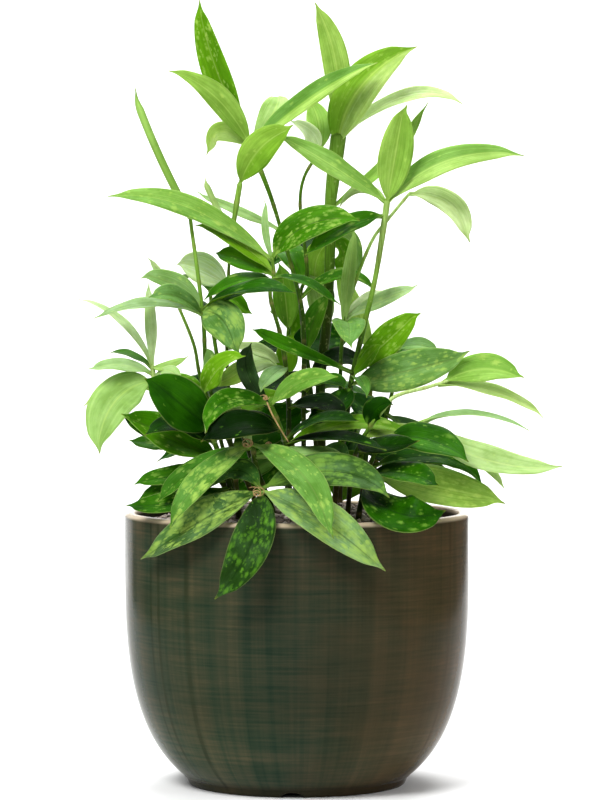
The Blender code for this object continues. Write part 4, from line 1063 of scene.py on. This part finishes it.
def make_shoots():
    materials = (leaf_material(), stem_material())
    for number, (name, shoot) in enumerate(SHOOTS.items()):
        draw = random.Random(SHOOT_SEED + number)
        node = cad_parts[name]
        near = KDTree(len(node.data.vertices))
        for vertex in node.data.vertices:
            near.insert(vertex.co / MM, vertex.index)
        near.balance()
        route = stem_route(shoot)
        stem = fine_stem(route, shoot.radii, shoot.age, shoot.ringed, draw, shoot.sheath)
        chunks = [(*stem, 1)]
        for row in shoot.leaves:
            leaf = Leaf(*row)
            base = point_at_height(route, leaf.base)
            pull, tip = bent_as_in_frame(base, leaf, near)
            chunks.append((*fine_blade(base, pull, tip, leaf, draw), 0))
        piece = build_piece(name + "_fine", chunks)
        place(piece, "foliage", *materials)
        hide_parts(name)


def outer_radius(height):
    drop = max(0.0, (POT_CURVE_TOP - height) / POT_CURVE_DEPTH)
    return POT_CORE + (POT_RADIUS - POT_CORE) * (1.0 - drop ** POT_CURVE_POWER) ** (1.0 / POT_CURVE_POWER)


def pot_profile():
    """The pot's section as (radius, height, inside share), from the foot's middle up and down inside."""
    foot = [
        (0.0, 0.0),
        (FOOT_RADIUS * 0.5, 0.0),
        (FOOT_RADIUS - FOOT_DRAFT - 0.8, 0.0),
        (FOOT_RADIUS - FOOT_DRAFT, 0.6),
        (FOOT_RADIUS - 0.6, 2.6),
        (FOOT_RADIUS, 4.2),
        (FOOT_RADIUS + 0.6, FOOT_HEIGHT - 0.5),
        (FOOT_RADIUS + 1.6, FOOT_HEIGHT),
    ]
    rows = [(radius, height, 0.0) for radius, height in foot]
    height = FOOT_HEIGHT + 1.0
    while height < POT_HEIGHT - LIP_ROUND:
        rows.append((outer_radius(height), height, 0.0))
        height += 1.2 if height < 30 else 4.0
    for step in range(LIP_STEPS + 1):
        turn = math.radians(180.0 * step / LIP_STEPS)
        inward = POT_RADIUS - POT_WALL / 2
        share = 1.0 if step >= LIP_INSIDE_STEP else 0.0
        radius = inward + POT_WALL / 2 * math.cos(turn)
        rows.append((radius, POT_HEIGHT - LIP_ROUND + LIP_ROUND * math.sin(turn), share))
    for depth in INNER_DEPTHS:
        rows.append((POT_RADIUS - POT_WALL, POT_HEIGHT - depth, 1.0))
    return rows


def notch_lift(radius, height, turn):
    """How far a notch presses this point of the foot up."""
    lift = 0.0
    if height < FOOT_HEIGHT - 0.4 and radius > FOOT_RADIUS - NOTCH_REACH:
        for notch in range(FOOT_NOTCHES):
            off = turn - math.radians(NOTCH_TURN + 360.0 * notch / FOOT_NOTCHES)
            away = math.atan2(math.sin(off), math.cos(off)) * FOOT_RADIUS
            inside_notch = max(0.0, 1 - (away / (NOTCH_WIDTH / 2)) ** 2)
            lift = max(lift, NOTCH_HEIGHT * math.sqrt(inside_notch))
    return lift


def make_pot():
    """The fine pot: the turned section, with its foot notches pressed up out of the foot's edge."""
    rows = pot_profile()
    points = []
    places = []
    rounds = []
    for radius, height, inside in rows:
        for side in range(POT_SIDES):
            turn = 2 * math.pi * side / POT_SIDES
            cos, sin = math.cos(turn), math.sin(turn)
            points.append((radius * cos, radius * sin, max(height, notch_lift(radius, height, turn))))
            places.append((0.5 + 0.5 * cos, height * MM, inside))
            rounds.append((cos, sin, height * MM))
    # All points of the first row lie in the middle of the foot: a fan from one of them closes it
    index, beside, quads = tube_faces(len(rows), POT_SIDES)
    fan = [(index[0, 0], beside[1, k], index[1, k]) for k in range(POT_SIDES)]
    mesh = new_mesh("pot_fine", np.array(points), list(quads[1:].reshape(-1, 4)) + fan)
    add_attribute(mesh, "pot_place", places)
    add_attribute(mesh, "pot_round", rounds)
    loose = bmesh.new()
    loose.from_mesh(mesh)
    bmesh.ops.delete(loose, geom=[v for v in loose.verts if not v.link_faces], context="VERTS")
    loose.to_mesh(mesh)
    loose.free()
    pot = new_object("pot_fine", mesh)
    place(pot, "glaze", glaze_material())
    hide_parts("pot")


def make_soil():
    """Granules strewn on the mound. The mound itself stays the frame's own node."""
    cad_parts["substrate"].data.materials.clear()
    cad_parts["substrate"].data.materials.append(soil_material())
    draw = random.Random(GRANULE_SEED)
    seed_ball = bmesh.new()
    bmesh.ops.create_icosphere(seed_ball, subdivisions=1, radius=1.0)
    ball = np.array([tuple(vertex.co) for vertex in seed_ball.verts])
    ball_faces = np.array([[vertex.index for vertex in face.verts] for face in seed_ball.faces])
    seed_ball.free()
    stems = [np.array(shoot.foot, float) for shoot in SHOOTS.values()]
    reach = POT_RADIUS - POT_WALL - GRANULE_TO_WALL
    points = []
    faces = []
    looks = []
    while len(points) < GRANULES:
        away = reach * math.sqrt(draw.random())
        turn = draw.uniform(0, 2 * math.pi)
        x, y = away * math.cos(turn), away * math.sin(turn)
        if min(np.hypot(*(stem - (x, y))) for stem in stems) < GRANULE_TO_STEM:
            continue
        size = draw.uniform(*GRANULE_SIZE)
        squash = np.array([draw.uniform(*span) for span in GRANULE_SQUASH])
        rough = np.array([draw.uniform(*GRANULE_ROUGHNESS) for _ in ball])[:, None]
        spin = draw.uniform(0, 2 * math.pi)
        shape = ball * rough * squash * size
        cos, sin = math.cos(spin), math.sin(spin)
        turned_x = shape[:, 0] * cos - shape[:, 1] * sin
        turned_y = shape[:, 0] * sin + shape[:, 1] * cos
        shape = np.stack([turned_x, turned_y, shape[:, 2]], 1)
        faces.append(ball_faces + len(points) * len(ball))
        points.append(shape + (x, y, soil_height(x, y) + size * GRANULE_RISE))
        looks.append(np.tile((draw.random(), draw.random(), draw.random()), (len(ball), 1)))
    mesh = new_mesh("granules", np.concatenate(points), np.concatenate(faces), smooth=False)
    add_attribute(mesh, "grain_look", np.concatenate(looks))
    place(new_object("granules", mesh), "planting_mix", granule_material())


def curl_strand(curve, strand, middle, size, turns, draw):
    """One strand of a curl: it opens outwards from its middle as it turns, and lies to the front."""
    start = draw.uniform(0, 6.28)
    lean = draw.uniform(-0.5, 0.5)
    spline = curve.splines.new("NURBS")
    spline.points.add(CURL_POINTS - 1)
    for step, point in enumerate(spline.points):
        part = step / (CURL_POINTS - 1)
        turn = start + 2 * math.pi * turns * part * (0.6 + 0.2 * strand)
        reach = size * (0.25 + 0.75 * part)
        offset = Vector((
            reach * math.cos(turn) + lean * part * size,
            -abs(reach * 0.5 * math.sin(turn * 0.7)) - 0.6,
            reach * math.sin(turn) * 0.7 + part * size * 0.5,
        ))
        point.co = (*((middle + offset) * MM), 1.0)
        point.radius = 1.0 - 0.7 * part
    spline.use_endpoint_u = True
    spline.order_u = 4


def make_husks():
    """Dry curls at the front stems' nodes, and the stalk that hangs from one of them."""
    husk = husk_material()
    for number, (name, (spot, size, turns)) in enumerate(HUSKS.items()):
        draw = random.Random(CURL_SEED + number)
        curve = bpy.data.curves.new(name, "CURVE")
        curve.dimensions = "3D"
        curve.bevel_depth = CURL_RADIUS * MM
        curve.bevel_resolution = 3
        curve.use_fill_caps = True
        for strand in range(CURL_STRANDS):
            curl_strand(curve, strand, seen(*spot), size, turns, draw)
        holder = new_object(name + "_path", curve)
        shape = bpy.context.evaluated_depsgraph_get()
        shape.update()
        mesh = bpy.data.meshes.new_from_object(holder.evaluated_get(shape))
        bpy.data.objects.remove(holder, do_unlink=True)
        mesh.shade_smooth()
        mesh.materials.clear()
        place(new_object(name, mesh), "foliage", husk)
    path = smooth_route([seen(*spot) for spot in DRY_STALK])
    draw = random.Random(DRY_STALK_SEED)
    points, faces, _ = fine_stem(path, DRY_STALK_RADII, age=0.5, ringed=0.0, draw=draw)
    place(new_object("dry_stalk", new_mesh("dry_stalk", points, faces)), "foliage", husk)


def make_sweep():
    """A plain pale floor that curves up behind the plant."""
    profile = [(STAGE_FRONT, 0.0)]
    for step in range(BEND_STEPS + 1):
        turn = math.radians(90.0 * step / BEND_STEPS)
        back = BEND_START + BEND_RADIUS * math.sin(turn)
        profile.append((back, BEND_RADIUS - BEND_RADIUS * math.cos(turn)))
    profile.append((BEND_START + BEND_RADIUS, STAGE_TOP))
    points = [(side * STAGE_HALF_WIDTH, y, z) for y, z in profile for side in (-1, 1)]
    faces = [(2 * k, 2 * k + 1, 2 * k + 3, 2 * k + 2) for k in range(len(profile) - 1)]
    mesh = bpy.data.meshes.new("floor")
    mesh.from_pydata(points, [], faces)
    mesh.shade_smooth()
    sweep = new_object("floor", mesh)
    m = Nodes("studio floor")
    m.shader.inputs["Base Color"].default_value = STAGE_GREY
    m.shader.inputs["Roughness"].default_value = 0.8
    # Seen from behind the sweep is clear, so the back of the plant can be looked at too
    backfacing = m.add("ShaderNodeNewGeometry").outputs["Backfacing"]
    clear = m.add("ShaderNodeBsdfTransparent").outputs[0]
    sides = m.add("ShaderNodeMixShader", None, {0: backfacing, 1: m.shader.outputs[0], 2: clear})
    m.put(m.tree.nodes["Material Output"], "Surface", sides.outputs[0])
    sweep.data.materials.append(m.material)


def make_sky():
    """The sky lights softly, and shows as plain white where it is seen past the sweep."""
    world = bpy.data.worlds.new("studio")
    bpy.context.scene.world = world
    world.use_nodes = True
    nodes, links = world.node_tree.nodes, world.node_tree.links
    sky = nodes["Background"]
    sky.inputs["Color"].default_value = WHITE
    sky.inputs["Strength"].default_value = SKY_STRENGTH
    shown = nodes.new("ShaderNodeBackground")
    shown.inputs["Color"].default_value = WHITE
    rays = nodes.new("ShaderNodeLightPath")
    either = nodes.new("ShaderNodeMixShader")
    for socket, output in enumerate((rays.outputs["Is Camera Ray"], sky.outputs[0], shown.outputs[0])):
        links.new(output, either.inputs[socket])
    links.new(either.outputs[0], nodes["World Output"].inputs["Surface"])


def make_lights():
    for name, (spot, size, power, aim) in LIGHTS.items():
        lamp = bpy.data.lights.new(name, "AREA")
        lamp.shape = "RECTANGLE"
        lamp.size, lamp.size_y = size
        lamp.energy = power
        holder = new_object(name, lamp)
        holder.location = spot
        holder.rotation_euler = (Vector(aim) - Vector(spot)).to_track_quat("-Z", "Y").to_euler()


def make_camera():
    """The camera at the photo's angle."""
    lens = bpy.data.cameras.new("camera")
    lens.sensor_fit = "VERTICAL"
    lens.sensor_height = SENSOR
    lens.lens = SENSOR * (AIM - EYE).length / FRAME_HEIGHT
    camera = new_object("camera", lens)
    camera.location = EYE * MM
    camera.rotation_euler = (AIM - EYE).to_track_quat("-Z", "Y").to_euler()
    bpy.context.scene.camera = camera
    bpy.context.scene.view_settings.view_transform = "Standard"


make_sweep()
make_sky()
make_lights()
make_camera()
make_pot()
make_soil()
make_shoots()
make_husks()
